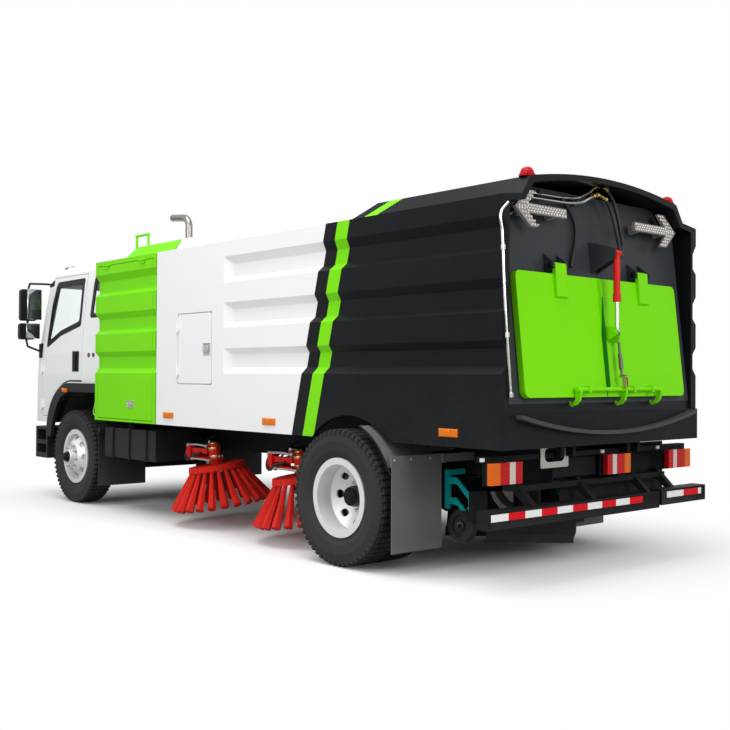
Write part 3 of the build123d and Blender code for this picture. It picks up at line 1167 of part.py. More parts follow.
swung_outline = cab_door_outline(CAB_DOOR_REAR_ROOM, CAB_DOOR_ARCH_ROOM)
with BuildPart() as door_frame:
    add(cab_walls.part)
    add(cab_door_block(swung_outline, CAB_DOOR_FRAME_GAP), mode=Mode.INTERSECT)
with BuildPart() as cab_door:
    add(cab_walls.part)
    add(cab_form(CAB_DOOR_SKIN), mode=Mode.SUBTRACT)
    add(cab_door_block(swung_outline, DOOR_GAP), mode=Mode.INTERSECT)
    add(door_frame.part)
    add(door_window_prism, mode=Mode.SUBTRACT)
    for leaf in cab_leaves:
        add(leaf)
keep("cab_door_left", cab_door.part)
keep("cab_door_right", mirrored(cab_door.part))

with BuildPart() as glass_skin:
    add(cab_form(GLASS_DEPTH))
    add(cab_form(GLASS_DEPTH + GLASS_THICKNESS), mode=Mode.SUBTRACT)


def pane(region):
    with BuildPart() as glass:
        add(glass_skin.part)
        add(region, mode=Mode.INTERSECT)
    return glass.part


door_glass = pane(door_window_prism)
quarter_glass = pane(quarter_prism)
keep("door_glass_left", door_glass)
keep("door_glass_right", mirrored(door_glass))
keep("cab_glass", pane(windscreen_prism), pane(rear_window_prism), quarter_glass, mirrored(quarter_glass))

cab_floor_z = CAB_ARCH_TOP + CAB_WALL
seats = []
for y, half in ((480.0, 250.0), (-420.0, 330.0)):
    seats.append(slab((FRONT_AXLE_X - 330, FRONT_AXLE_X + 150), (y - half, y + half),
                      (cab_floor_z, cab_floor_z + 300)))
    seats.append(prism_y(from_front([(-330, cab_floor_z + 299), (-200, cab_floor_z + 299),
                                     (-330, cab_floor_z + 900),
                                     (-430, cab_floor_z + 900)]), (y - half, y + half)))
with BuildPart() as dash_foot:
    add(prism_y(from_front([(400, 1150), (520, 1000), (640, cab_floor_z + 5), (560, 1500)]), (-250, 250)))
    add(prism_y(arch_inner, (-far_out, far_out)), mode=Mode.SUBTRACT)
cab_fittings = [
     prism_y(from_front([(600, cab_floor_z + 2), (760, cab_floor_z + 2), (860, 1640), (600, 1720),
                         (540, 1560)]),
             (-880, 880)),
     dash_foot.part,
     rod((FRONT_AXLE_X + 570, 480, 1600), (FRONT_AXLE_X + 480, 480, 1800), 26),
]
wheel_centre = (FRONT_AXLE_X + 480, 480, 1800)
tilt = Plane(origin=wheel_centre, z_dir=(-90, 0, 200))
with BuildPart() as steering_wheel:
    with BuildSketch(Plane(origin=wheel_centre, x_dir=(0, 1, 0), z_dir=tilt.x_dir)):
        with Locations((210, 0)):
            RegularPolygon(15, 6)
    revolve(axis=Axis(wheel_centre, tuple(tilt.z_dir)))
    for turn in (0, 90):
        spoke = tilt.x_dir.rotate(Axis((0, 0, 0), tuple(tilt.z_dir)), turn)
        a = Vector(*wheel_centre) - spoke * 205
        b = Vector(*wheel_centre) + spoke * 205
        add(rod((a.X, a.Y, a.Z), (b.X, b.Y, b.Z), 11))
    add(rod(wheel_centre, (wheel_centre[0] - 18, 480, wheel_centre[2] + 40), 40))
keep("cab_interior", *seats, *cab_fittings, steering_wheel.part)

front_face_x = FRONT_AXLE_X + CAB_SECTIONS[0][1]
FLARE_OUTER_Y = 1058.0
FLARE_HIGH_Z = 1399.0
FLARE_LIP = 14.0                 # below the arch's edge


def cab_side(z):
    """Half width of the cab's lower side at a height."""
    (z0, half0), (z1, half1) = CAB_SECTIONS[0][::2], CAB_SECTIONS[1][::2]
    return half0 + (half1 - half0) * (z - z0) / (z1 - z0)


flares = []
flare_inner = offset_line(CAB_ARCH, -FLARE_LIP)[1:-1]
flare_outer = from_front(FLARE_EDGE + [(FLARE_EDGE[-1][0], flare_inner[-1][1])] + flare_inner[::-1]
                         + [(CAB_ARCH[0][0] - FLARE_LIP, ARCH_FOOT_Z)])
for side in (-1, 1):
    with BuildPart() as flare:
        add(prism_y(flare_outer, sorted((side * 1005.0, side * FLARE_OUTER_Y))))
        add(prism_x([(0, ARCH_FOOT_Z), (side * cab_side(ARCH_FOOT_Z), ARCH_FOOT_Z),
                     (side * cab_side(FLARE_HIGH_Z), FLARE_HIGH_Z), (0, FLARE_HIGH_Z)],
                    (CAB_REAR_X - 100, front_face_x)), mode=Mode.SUBTRACT)
    flares.append(flare.part)

BUMPER_TOP_Z = 800.0
BUMPER_BOTTOM_Z = 440.0
with BuildPart() as front_bumper:
    with BuildSketch(Plane.XY.offset(BUMPER_BOTTOM_Z)) as plan:
        with BuildLine():
            Line((FRONT_AXLE_X + 1130, -1025), (FRONT_AXLE_X + 735, -1025))
            Line((FRONT_AXLE_X + 735, -1025), (FRONT_AXLE_X + 735, 1025))
            Line((FRONT_AXLE_X + 735, 1025), (FRONT_AXLE_X + 1130, 1025))
            ThreePointArc((FRONT_AXLE_X + 1130, 1025), (FRONT_AXLE_X + FRONT_OVERHANG, 0),
                          (FRONT_AXLE_X + 1130, -1025))
        make_face()
        fillet(plan.vertices().group_by(Axis.X)[-1], 110)
    extrude(amount=BUMPER_TOP_Z - BUMPER_BOTTOM_Z)
    with BuildSketch(Plane.XY.offset(BUMPER_BOTTOM_Z - 1)) :
        with Locations((FRONT_AXLE_X + 900, 0)):
            Rectangle(360, 1720)
    extrude(amount=BUMPER_TOP_Z - BUMPER_BOTTOM_Z + 2, mode=Mode.SUBTRACT)
    for side in (-1, 1):
        for low, high in ((500.0, 600.0), (650.0, 770.0)):
            add(slab((FRONT_AXLE_X + 770, FRONT_AXLE_X + 1010), sorted((side * 900, side * 1100)),
                     (low, high)),
                mode=Mode.SUBTRACT)
    for side in (-1, 1):
        add(slab((RAIL_FRONT_X, FRONT_AXLE_X + 1090), sorted((side * 350, side * RAIL_OUTER_Y)),
                 (700, 790)))
        # lug and pin that the cab tilts about
        add(prism_y([(TILT_X - 70, 789), (TILT_X - 17, TILT_Z + 10), (TILT_X + 17, TILT_Z - 10),
                     (TILT_X - 30, 789)],
                    sorted((side * TILT_LUG_Y, side * (TILT_LUG_Y + 22)))))
        add(rod((TILT_X, side * TILT_LUG_Y, TILT_Z), (TILT_X, side * (TILT_LUG_Y + 22), TILT_Z), 20))
        add(rod((TILT_X, side * TILT_LUG_Y, TILT_Z), (TILT_X, side * (TILT_LUG_Y + 66), TILT_Z),
                TILT_PIN_RADIUS))
keep("front_bumper", front_bumper.part)

TOW_EYE_X = FRONT_AXLE_X + 1110.0
TOW_EYE_Y = 375.0
TOW_EYE_Z = 400.0
TOW_EYE_BORE = 20.0
TOW_EYE_RADIUS = 32.0
TOW_EYE_HALF = 15.0
with BuildPart() as tow_eye:
    for side in (-1, 1):
        span = sorted((side * TOW_EYE_Y - TOW_EYE_HALF, side * TOW_EYE_Y + TOW_EYE_HALF))
        add(prism_y([(RAIL_FRONT_X - 100, RAIL_TOP_Z - RAIL_HEIGHT),
                     (RAIL_FRONT_X - 5, RAIL_TOP_Z - RAIL_HEIGHT),
                     (RAIL_FRONT_X + 30, TOW_EYE_Z + TOW_EYE_RADIUS),
                     (TOW_EYE_X, TOW_EYE_Z + TOW_EYE_RADIUS),
                     (TOW_EYE_X, TOW_EYE_Z - TOW_EYE_RADIUS),
                     (RAIL_FRONT_X - 30, TOW_EYE_Z - TOW_EYE_RADIUS)], span))
        add(rod((TOW_EYE_X, span[0], TOW_EYE_Z), (TOW_EYE_X, span[1], TOW_EYE_Z), TOW_EYE_RADIUS))
    add(rod((TOW_EYE_X, -600, TOW_EYE_Z), (TOW_EYE_X, 600, TOW_EYE_Z), TOW_EYE_BORE), mode=Mode.SUBTRACT)

with BuildPart() as lamp_node:
    for side in (-1, 1):
        add(slab((front_face_x - 160, front_face_x + 24), sorted((side * 640, side * 930)), (930, 1070)))
    add(cab_form(0), mode=Mode.SUBTRACT)
keep("head_lamps", lamp_node.part)
with BuildPart() as grille:
    for low, high, proud in GRILLE_BARS:
        add(grille_prism(low, high, proud, GRILLE_HALF - SEAT_GAP))
keep("cab_trim", grille.part, *flares)

mirror_x = FRONT_AXLE_X + 1000.0
with BuildPart() as mirror_set:
    with BuildSketch(Plane(origin=(mirror_x, 0, 0), x_dir=(0, 1, 0), z_dir=(1, 0, 0))):
        with Locations((1150, 2225)):
            RectangleRounded(190, 370, 30)
        with Locations((1165, 1915)):
            RectangleRounded(180, 190, 30)
    extrude(amount=60)
    arms = [
        [(mirror_x + 30, 1150, 2400), (mirror_x + 20, 1130, 2478), (FRONT_AXLE_X + 890, 985, 2474),
         (FRONT_AXLE_X + 820, 890, 2462)],
        [(mirror_x + 30, 1165, 1822), (mirror_x + 20, 1150, 1740), (FRONT_AXLE_X + 930, 1000, 1670)],
    ]
    for arm in arms:
        for start, end in zip(arm, arm[1:]):
            add(rod(start, end, 12))
            with BuildPart(mode=Mode.PRIVATE) as joint:
                with Locations(end):
                    Sphere(12)
            add(joint.part)
    add(rod((mirror_x + 30, 1150, 1995), (mirror_x + 30, 1150, 2050), 14))
    add(cab_form(0), mode=Mode.SUBTRACT)
keep("mirrors", mirror_set.part, mirrored(mirror_set.part))

engine_feet = []
for side in (-1, 1):
    for x in (FRONT_AXLE_X - 360, FRONT_AXLE_X + 250):
        engine_feet.append(slab((x, x + 80), sorted((side * 319, side * (RAIL_OUTER_Y - RAIL_WALL - 10))),
                                (rail_bottom_z + RAIL_WALL, rail_bottom_z + RAIL_WALL + 30)))
keep("truck_engine",
     slab((FRONT_AXLE_X - 420, FRONT_AXLE_X + 120), (-320, 320), (600, 1205)),
     slab((FRONT_AXLE_X + 119, FRONT_AXLE_X + 380), (-320, 320), (600, 1060)),
     slab((FRONT_AXLE_X - 1050, FRONT_AXLE_X - 419), (-200, 200), (560, 900)),
     *engine_feet)

# ---------------------------------------------------------------- tanks, mudguards, flaps

TANK_X = (REAR_AXLE_X + 3010.0, REAR_AXLE_X + 4060.0)
tanks = []
for side in (-1, 1):
    tanks.append(slab(TANK_X, sorted((side * 500.0, side * 1050.0)), (560, 862)))
    for x in (TANK_X[0] + 180, sum(TANK_X) / 2, TANK_X[1] - 180):
        tanks.append(slab((x - 25, x + 25), sorted((side * 494.0, side * 1056.0)), (554, 868)))
    for x in (TANK_X[0] + 180, TANK_X[1] - 180):
        tanks.append(slab((x - 30, x + 30), sorted((side * RAIL_OUTER_Y, side * 501.0)), (720, 860)))
keep("side_tanks", *tanks)

FRONT_FLAP_X = REAR_AXLE_X + 4195.0
REAR_FLAP_X = REAR_AXLE_X - 575.0
GUARD_RADIUS = TYRE_RADIUS + 70.0
with BuildPart() as guards:
    for side in (-1, 1):
        add(slab((FRONT_FLAP_X - 8, FRONT_FLAP_X), sorted((side * 500.0, side * 1060.0)), (230, 850)))
        add(slab((FRONT_FLAP_X - 40, FRONT_FLAP_X), sorted((side * RAIL_OUTER_Y, side * 1060.0)),
                 (800, 850)))
        add(slab((REAR_FLAP_X - 8, REAR_FLAP_X), sorted((side * 745.0, side * 1240.0)), (165, 800)))
        add(slab((REAR_FLAP_X - 9, REAR_FLAP_X + 6), sorted((side * 700.0, side * 1245.0)), (780, 850)))
        add(slab((REAR_FLAP_X - 40, REAR_FLAP_X), sorted((side * RAIL_OUTER_Y, side * 760.0)), (790, 850)))
    with BuildSketch(Plane(origin=(REAR_AXLE_X, 0, TYRE_RADIUS), x_dir=(1, 0, 0), z_dir=(0, -1, 0))):
        with BuildLine():
            outer = CenterArc((0, 0), GUARD_RADIUS + 6, 112, 42)
            inner_arc = CenterArc((0, 0), GUARD_RADIUS, 112, 42)
            Line(outer @ 0, inner_arc @ 0)
            Line(outer @ 1, inner_arc @ 1)
        make_face()
    extrude(amount=1235, both=True)
    add(slab((REAR_AXLE_X - 900, REAR_AXLE_X + 200), (-760, 760), (860, 1200)), mode=Mode.SUBTRACT)
    add(slab((REAR_AXLE_X - 560, REAR_AXLE_X + 200), (-740, 740), (500, 1200)), mode=Mode.SUBTRACT)
    add(slab((REAR_AXLE_X - 560, REAR_AXLE_X - 400), (-RAIL_OUTER_Y, RAIL_OUTER_Y), (500, 1200)),
        mode=Mode.SUBTRACT)
    for side in (-1, 1):
        for turn in (114, 133):
            x = REAR_AXLE_X + (GUARD_RADIUS + 3) * cos(radians(turn))
            z = TYRE_RADIUS + (GUARD_RADIUS + 3) * sin(radians(turn))
            if z < 940:
                add(slab((x - 20, x + 20), sorted((side * RAIL_OUTER_Y, side * 760.0)), (z - 80, z - 45)))
                add(slab((x - 20, x + 20), sorted((side * 740.0, side * 790.0)), (z - 60, z)))
keep("mudguards", guards.part)

# ---------------------------------------------------------------- side brooms and their arms

broom_lean = radians(BROOM_TILT)
lean_way = Vector(0.66, 0.75, 0).normalized()
broom_axis = Vector(sin(broom_lean) * lean_way.X, sin(broom_lean) * lean_way.Y, cos(broom_lean))
for place, distance, pivot in BROOMS:
    centre = Vector(REAR_AXLE_X + distance, BROOM_Y, BROOM_Z)
    disc_plane = Plane(origin=centre, z_dir=broom_axis)
    with BuildPart() as broom:
        with BuildSketch(disc_plane.offset(-26)):
            Circle(BROOM_DISC_RADIUS)
        extrude(amount=52, taper=8)
        with BuildSketch(disc_plane.offset(-30)):
            Circle(BROOM_DISC_RADIUS - 60)
        extrude(amount=34, mode=Mode.SUBTRACT)
        with BuildSketch(disc_plane.offset(4)):
            Circle(55)
        extrude(amount=62)
        drop = 330.0
        root = BROOM_DISC_RADIUS - 32
        splay = (BROOM_TIP_RADIUS - root) / drop
        length = hypot(drop, BROOM_TIP_RADIUS - root)
        for turn in range(BROOM_TUFTS):
            spoke = disc_plane.x_dir.rotate(Axis((0, 0, 0), tuple(broom_axis)), 360 * turn / BROOM_TUFTS)
            start = centre + spoke * root - broom_axis * 18
            way = (spoke * splay - broom_axis).normalized()
            with BuildSketch(Plane(origin=start, x_dir=spoke.cross(broom_axis), z_dir=way)):
                RegularPolygon(16, 6)
            extrude(amount=length, taper=-3.2)
    label = "broom_" + place
    keep(label + "_left", broom.part)
    keep(label + "_right", mirrored(broom.part))

    pivot_x = REAR_AXLE_X + pivot
    top = centre + broom_axis * 66
    with BuildPart() as arm:
        add(rod((pivot_x, ARM_PIVOT_Y, ARM_Z - 50), (pivot_x, ARM_PIVOT_Y, ARM_Z + 50), 42))
        way = Vector(top.X - pivot_x, top.Y - ARM_PIVOT_Y, 0)
        middle = Vector(pivot_x, ARM_PIVOT_Y, ARM_Z) + way / 2
        with BuildSketch(Plane(origin=(middle.X, middle.Y, ARM_Z - 30), x_dir=way.normalized(),
                               z_dir=(0, 0, 1))):
            Rectangle(way.length, 76)
        extrude(amount=44)
        motor_plane = Plane(origin=top, z_dir=broom_axis)
        with BuildSketch(motor_plane.offset(SEAT_GAP)):
            Circle(78)
        extrude(amount=20)
        with BuildSketch(motor_plane.offset(20)):
            Circle(58)
        extrude(amount=130)
        add(rod((pivot_x, ARM_PIVOT_Y, ARM_Z - 60), (pivot_x, ARM_PIVOT_Y, ARM_Z + 60), 20 + PIN_CLEARANCE),
            mode=Mode.SUBTRACT)
    arm_label = "broom_arm_" + place
    keep(arm_label + "_left", arm.part)
    keep(arm_label + "_right", mirrored(arm.part))

mount_solids = []
for place, distance, pivot in BROOMS:
    x = REAR_AXLE_X + pivot
    for side in (-1, 1):
        y = side * ARM_PIVOT_Y
        mount_solids.append(rod((x, y, ARM_Z - 70), (x, y, ARM_Z + 70), 20))
        for up in (-1, 1):
            z0 = ARM_Z + up * (50 + SEAT_GAP)
            z1 = ARM_Z + up * 70
            mount_solids.append(slab((x - 45, x + 45),
                                     sorted((side * (RAIL_OUTER_Y - 1), side * (ARM_PIVOT_Y + 45))),
                                     sorted((z0, z1))))
        mount_solids.append(slab((x - 45, x + 45),
                                 sorted((side * (RAIL_OUTER_Y - 1), side * (RAIL_OUTER_Y + 30))),
                                 (ARM_Z - 70, ARM_Z + 70)))

# ---------------------------------------------------------------- suction nozzle

DUCT_X = REAR_AXLE_X - 560.0
DUCT_Y = -230.0
DUCT_RADIUS = 108.0
nozzle_tilt = radians(NOZZLE_TILT)


def hung(y, z):
    """A point of the nozzle's own (across, up) frame as (y, z)."""
    return (y * cos(nozzle_tilt) - z * sin(nozzle_tilt),
            NOZZLE_Z + y * sin(nozzle_tilt) + z * cos(nozzle_tilt))


def nozzle_box(across, up):
    return [hung(across[0], up[0]), hung(across[1], up[0]), hung(across[1], up[1]), hung(across[0], up[1])]


with BuildPart() as nozzle:
    add(prism_x(nozzle_box((-NOZZLE_HALF_WIDTH, NOZZLE_HALF_WIDTH), (30, 170)),
                (NOZZLE_X - 170, NOZZLE_X + 230)))
    add(prism_x(nozzle_box((-NOZZLE_HALF_WIDTH + 25, NOZZLE_HALF_WIDTH - 25), (20, 150)),
                (NOZZLE_X - 150, NOZZLE_X + 210)), mode=Mode.SUBTRACT)
    add(prism_x(nozzle_box((-NOZZLE_HALF_WIDTH, NOZZLE_HALF_WIDTH), (-40, 31)),
                (NOZZLE_X - 178, NOZZLE_X - 169)))
    add(prism_x(nozzle_box((-NOZZLE_HALF_WIDTH, NOZZLE_HALF_WIDTH), (-40, 31)),
                (NOZZLE_X + 229, NOZZLE_X + 238)))
    add(rod((DUCT_X - 20, DUCT_Y, NOZZLE_Z + 120), (DUCT_X, DUCT_Y, FLOOR_Z - 25), DUCT_RADIUS,
            DUCT_RADIUS - 8))
    for side in (-1, 1):
        add(rod((NOZZLE_X, *hung(side * (NOZZLE_HALF_WIDTH - 30), 60)),
                (NOZZLE_X, *hung(side * (CASTOR_Y + 44), 60)), 14))

for label, side in (("left", 1), ("right", -1)):
    middle = hung(side * CASTOR_Y, 60)
    across = Vector(0, cos(nozzle_tilt), sin(nozzle_tilt))
    hub_plane = Plane(origin=(NOZZLE_X, *middle), z_dir=across)
    with BuildPart() as castor:
        with BuildSketch(hub_plane):
            Circle(CASTOR_RADIUS)
            Circle(14 + PIN_CLEARANCE, mode=Mode.SUBTRACT)
        extrude(amount=CASTOR_WIDTH / 2, both=True)
        with BuildSketch(hub_plane.offset(side * CASTOR_WIDTH / 2)):
            Circle(80)
            Circle(36, mode=Mode.SUBTRACT)
        extrude(amount=-side * 22, mode=Mode.SUBTRACT)
    keep("nozzle_castor_" + label, castor.part)

LINK_ROOT_X = REAR_AXLE_X - 560.0
link_solids = []
for side in (-1, 1):
    y = side * 640.0
    link_foot_z = hung(side * (NOZZLE_HALF_WIDTH + 10), 120)[1]
    link_solids.append(slab((LINK_ROOT_X - 20, LINK_ROOT_X + 20), sorted((y, y + side * 30)), (420, 720)))
    link_solids.append(slab((LINK_ROOT_X - 20, LINK_ROOT_X + 20),
                            sorted((side * RAIL_OUTER_Y, y + side * 30)),
                            (685, 725)))
    for z in (650.0, 500.0):
        link_solids.append(prism_y([(LINK_ROOT_X - 10, z + 24), (LINK_ROOT_X - 90, z + 24),
                                    (LINK_ROOT_X - 220, z - 90),
                                    (LINK_ROOT_X - 220, z - 135), (LINK_ROOT_X - 100, z - 26),
                                    (LINK_ROOT_X - 10, z - 26)],
                                   sorted((y + side * 6, y + side * 24))))
    link_solids.append(slab((LINK_ROOT_X - 250, LINK_ROOT_X - 212),
                            sorted((y - side * 140, y + side * 24)), (link_foot_z, 580)))
keep("suction_nozzle", nozzle.part, *link_solids)

# ---------------------------------------------------------------- tipping cylinder

HOIST_RADIUS = 62.0
HOIST_ROD_RADIUS = 42.0
HOIST_NECK = 36.0
hoist_span = hypot(HOIST_HEAD[0] - HOIST_FOOT[0], HOIST_HEAD[1] - HOIST_FOOT[1])


def along_hoist(distance):
    share = distance / hoist_span
    return (HOIST_FOOT[0] + (HOIST_HEAD[0] - HOIST_FOOT[0]) * share, 0,
            HOIST_FOOT[1] + (HOIST_HEAD[1] - HOIST_FOOT[1]) * share)


HOIST_BARREL = 1440.0
with BuildPart() as hoist_barrel:
    add(rod((HOIST_FOOT[0], -40, HOIST_FOOT[1]), (HOIST_FOOT[0], 40, HOIST_FOOT[1]), 45))
    add(rod(along_hoist(30), along_hoist(80), HOIST_NECK))
    add(rod(along_hoist(75), along_hoist(HOIST_BARREL), HOIST_RADIUS))
    add(rod(along_hoist(90), along_hoist(HOIST_BARREL + 5), HOIST_ROD_RADIUS + PIN_CLEARANCE),
        mode=Mode.SUBTRACT)
    add(rod((HOIST_FOOT[0], -80, HOIST_FOOT[1]), (HOIST_FOOT[0], 80, HOIST_FOOT[1]), 22 + PIN_CLEARANCE),
        mode=Mode.SUBTRACT)
keep("hoist_barrel", hoist_barrel.part)
with BuildPart() as hoist_rod:
    add(rod(along_hoist(120), along_hoist(hoist_span - 30), HOIST_ROD_RADIUS))
    add(rod((HOIST_HEAD[0], -30, HOIST_HEAD[1]), (HOIST_HEAD[0], 30, HOIST_HEAD[1]), 44))
    add(rod((HOIST_HEAD[0], -60, HOIST_HEAD[1]), (HOIST_HEAD[0], 60, HOIST_HEAD[1]), 24),
        mode=Mode.SUBTRACT)
keep("hoist_rod", hoist_rod.part)
hoist_mount = []
for side in (-1, 1):
    hoist_mount.append(slab((HOIST_FOOT[0] - 71, HOIST_FOOT[0] + 40), sorted((side * 44, side * 64)),
                            (745, 838)))
hoist_mount.append(rod((HOIST_FOOT[0], -64, HOIST_FOOT[1]), (HOIST_FOOT[0], 64, HOIST_FOOT[1]), 22))
keep("chassis_frame", *frame_solids, *hoist_mount, *mount_solids, hose_plate.part,
     tow_eye.part)

# ---------------------------------------------------------------- write the pieces

for name, solid in pieces.items():
    export_step(solid, f"parts/{name}.step")
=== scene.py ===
# %% [markdown]
# # Street sweeper truck
#
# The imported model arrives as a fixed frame: every rigid part is already in its place, in metres,
# with +X forward, +Y to the truck's left and +Z up. This notebook gives each part the finish of
# the real one and adds what is too small for the solids: tyre blocks, nuts, seals, hoses, lenses.

# %% Load the frame
import bpy
import math
from mathutils import Matrix, Vector
from random import Random


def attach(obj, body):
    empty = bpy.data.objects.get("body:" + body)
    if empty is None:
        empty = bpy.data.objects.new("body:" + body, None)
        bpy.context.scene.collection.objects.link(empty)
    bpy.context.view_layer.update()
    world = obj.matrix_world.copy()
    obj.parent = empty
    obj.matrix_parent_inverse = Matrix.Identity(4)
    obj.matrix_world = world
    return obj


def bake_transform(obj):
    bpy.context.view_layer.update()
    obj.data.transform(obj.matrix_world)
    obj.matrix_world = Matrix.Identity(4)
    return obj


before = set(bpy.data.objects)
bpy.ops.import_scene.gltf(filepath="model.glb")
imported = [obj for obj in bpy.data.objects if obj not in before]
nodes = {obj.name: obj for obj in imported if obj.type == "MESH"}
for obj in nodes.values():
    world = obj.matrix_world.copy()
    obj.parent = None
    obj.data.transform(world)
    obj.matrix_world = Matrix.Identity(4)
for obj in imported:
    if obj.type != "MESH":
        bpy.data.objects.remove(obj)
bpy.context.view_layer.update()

REAR_AXLE = -2.185
FRONT_AXLE = 2.615
WHEEL_HEIGHT = 0.509

# %% [markdown]
# ## Camera
#
# The camera stands at eye level off the left rear corner, with a normal lens, so the
# body's long side and its leaning rear wall both show. It is placed by its own axes: where its
# right hand, its top and its back point.

# %% Camera
CAMERA_AT = Vector((-8.0062, 6.1071, 1.4124))
LENS = 50.37
SENSOR = 36
camera_data = bpy.data.cameras.new("camera")
camera = bpy.data.objects.new("camera", camera_data)
bpy.context.scene.collection.objects.link(camera)
look = Vector((0.7507, -0.6606, 0.0108)).normalized()
right = Vector((-0.6607, -0.7507, 0.0054)).normalized()
up = right.cross(look).normalized()
camera.matrix_world = Matrix((
    (right.x, up.x, -look.x, CAMERA_AT.x),
    (right.y, up.y, -look.y, CAMERA_AT.y),
    (right.z, up.z, -look.z, CAMERA_AT.z),
    (0, 0, 0, 1),
))
camera_data.lens = LENS
camera_data.sensor_width = SENSOR
bpy.context.scene.camera = camera
print("camera at", tuple(round(v, 3) for v in camera.matrix_world.translation))

# %% [markdown]
# ## Light and floor
#
# A studio for a truck is a pale floor, a pale world and a few big soft lamps. The world is pure
# white only to the camera and to mirror-like rays; what it throws on the truck is much weaker, so
# that white paint keeps its shading.

# %% Nodes and their inputs
def add(tree, kind, inputs=None, **settings):
    """A shader node with its settings; each input is given a value or linked to a socket."""
    node = tree.nodes.new("ShaderNode" + kind)
    for name, value in settings.items():
        setattr(node, name, value)
    for key, value in (inputs or {}).items():
        if isinstance(value, bpy.types.NodeSocket):
            tree.links.new(value, node.inputs[key])
        else:
            node.inputs[key].default_value = value
    return node


def math_node(tree, operation, *values, clamp=False):
    node = add(tree, "Math", dict(enumerate(values)), operation=operation, use_clamp=clamp)
    return node.outputs[0]


# %% World
AMBIENT = 0.42
world = bpy.data.worlds.new("studio")
bpy.context.scene.world = world
world.use_nodes = True
tree = world.node_tree
tree.nodes.clear()
rays = add(tree, "LightPath").outputs
seen = math_node(tree, "MAXIMUM", rays["Is Camera Ray"], rays["Is Glossy Ray"])
seen = math_node(tree, "MAXIMUM", seen, rays["Is Transmission Ray"])
ambient = add(tree, "Background", {"Color": (0.95, 0.98, 1, 1), "Strength": AMBIENT})
backdrop = add(tree, "Background", {"Color": (1, 1, 1, 1), "Strength": 1.0})
mixed = add(tree, "MixShader", {0: seen, 1: ambient.outputs[0], 2: backdrop.outputs[0]})
add(tree, "OutputWorld", {0: mixed.outputs[0]})
bpy.context.scene.view_settings.view_transform = "Standard"


# %% Lamps
def soft_lamp(name, spot, target, size, power):
    data = bpy.data.lights.new(name, "AREA")
    data.shape = "SQUARE"
    data.size = size
    data.energy = power
    lamp = bpy.data.objects.new(name, data)
    bpy.context.scene.collection.objects.link(lamp)
    aim = (Vector(target) - Vector(spot)).to_track_quat("-Z", "Y")
    lamp.matrix_world = Matrix.Translation(spot) @ aim.to_matrix().to_4x4()


soft_lamp("sky_lamp", (-1.5, 3.5, 11.0), (-0.5, 0, 1.0), 9.0, 950)
soft_lamp("side_lamp", (-3.0, 11.0, 5.0), (0, 1.2, 1.4), 6.0, 430)
soft_lamp("rear_lamp", (-12.0, 1.0, 4.5), (-3.5, 0, 1.4), 5.0, 430)

# %% [markdown]
# ## Shared effects
#
# Paint, rubber and steel differ in colour, but road dust gathers on all of them in the same way,
# and none is perfectly even. Those shared effects are node groups, so each is built once. They
# put out masks, values and normals only; each material keeps its own shader.

# %% Groups and noise
def new_group(name, inputs, outputs):
    """A node group, the sockets that it is given and the sockets that it fills."""
    group = bpy.data.node_groups.new(name, "ShaderNodeTree")
    for label, kind, value in inputs:
        socket = group.interface.new_socket(name=label, in_out="INPUT", socket_type=kind)
        if value is not None:
            socket.default_value = value
    for label, kind in outputs:
        group.interface.new_socket(name=label, in_out="OUTPUT", socket_type=kind)
    return group, group.nodes.new("NodeGroupInput").outputs, group.nodes.new("NodeGroupOutput").inputs


def noise_node(tree, vector, scale, detail, roughness=0.55):
    inputs = {"Vector": vector, "Scale": scale, "Detail": detail, "Roughness": roughness}
    return add(tree, "TexNoise", inputs).outputs["Fac"]


# %% Road dust
# Dust is thickest near the road and thins out upwards, in drifts rather than evenly.
FLOAT, VECTOR = "NodeSocketFloat", "NodeSocketVector"
dust_group, given, result = new_group(
    "road_dust",
    [("Vector", VECTOR, None), ("Clean Height", FLOAT, 1.4), ("Amount", FLOAT, 0.5)],
    [("Mask", FLOAT)],
)
rise = add(dust_group, "SeparateXYZ", {0: given["Vector"]}).outputs["Z"]
fall = math_node(dust_group, "DIVIDE", rise, given["Clean Height"])
low = math_node(dust_group, "SUBTRACT", 1.0, fall, clamp=True)
drift = noise_node(dust_group, given["Vector"], 3.2, 5.0)
fine = noise_node(dust_group, given["Vector"], 42.0, 2.0)
drifts = math_node(dust_group, "MULTIPLY", drift, math_node(dust_group, "ADD", fine, 0.45))
dusty = math_node(dust_group, "MULTIPLY", math_node(dust_group, "ADD", low, 0.12), drifts)
dusty = math_node(dust_group, "MULTIPLY", dusty, given["Amount"], clamp=True)
dust_group.links.new(dusty, result["Mask"])

# %% Uneven surface
uneven_group, given, result = new_group(
    "uneven_surface",
    [("Vector", VECTOR, None), ("Scale", FLOAT, 40.0), ("Strength", FLOAT, 0.05)],
    [("Normal", VECTOR), ("Value", FLOAT)],
)
waves = add(uneven_group, "TexNoise", {"Vector": given["Vector"], "Scale": given["Scale"], "Detail": 4.0})
bump = add(uneven_group, "Bump", {"Strength": given["Strength"], "Distance": 0.002,
                                  "Height": waves.outputs["Fac"]})
uneven_group.links.new(bump.outputs["Normal"], result["Normal"])
uneven_group.links.new(waves.outputs["Fac"], result["Value"])

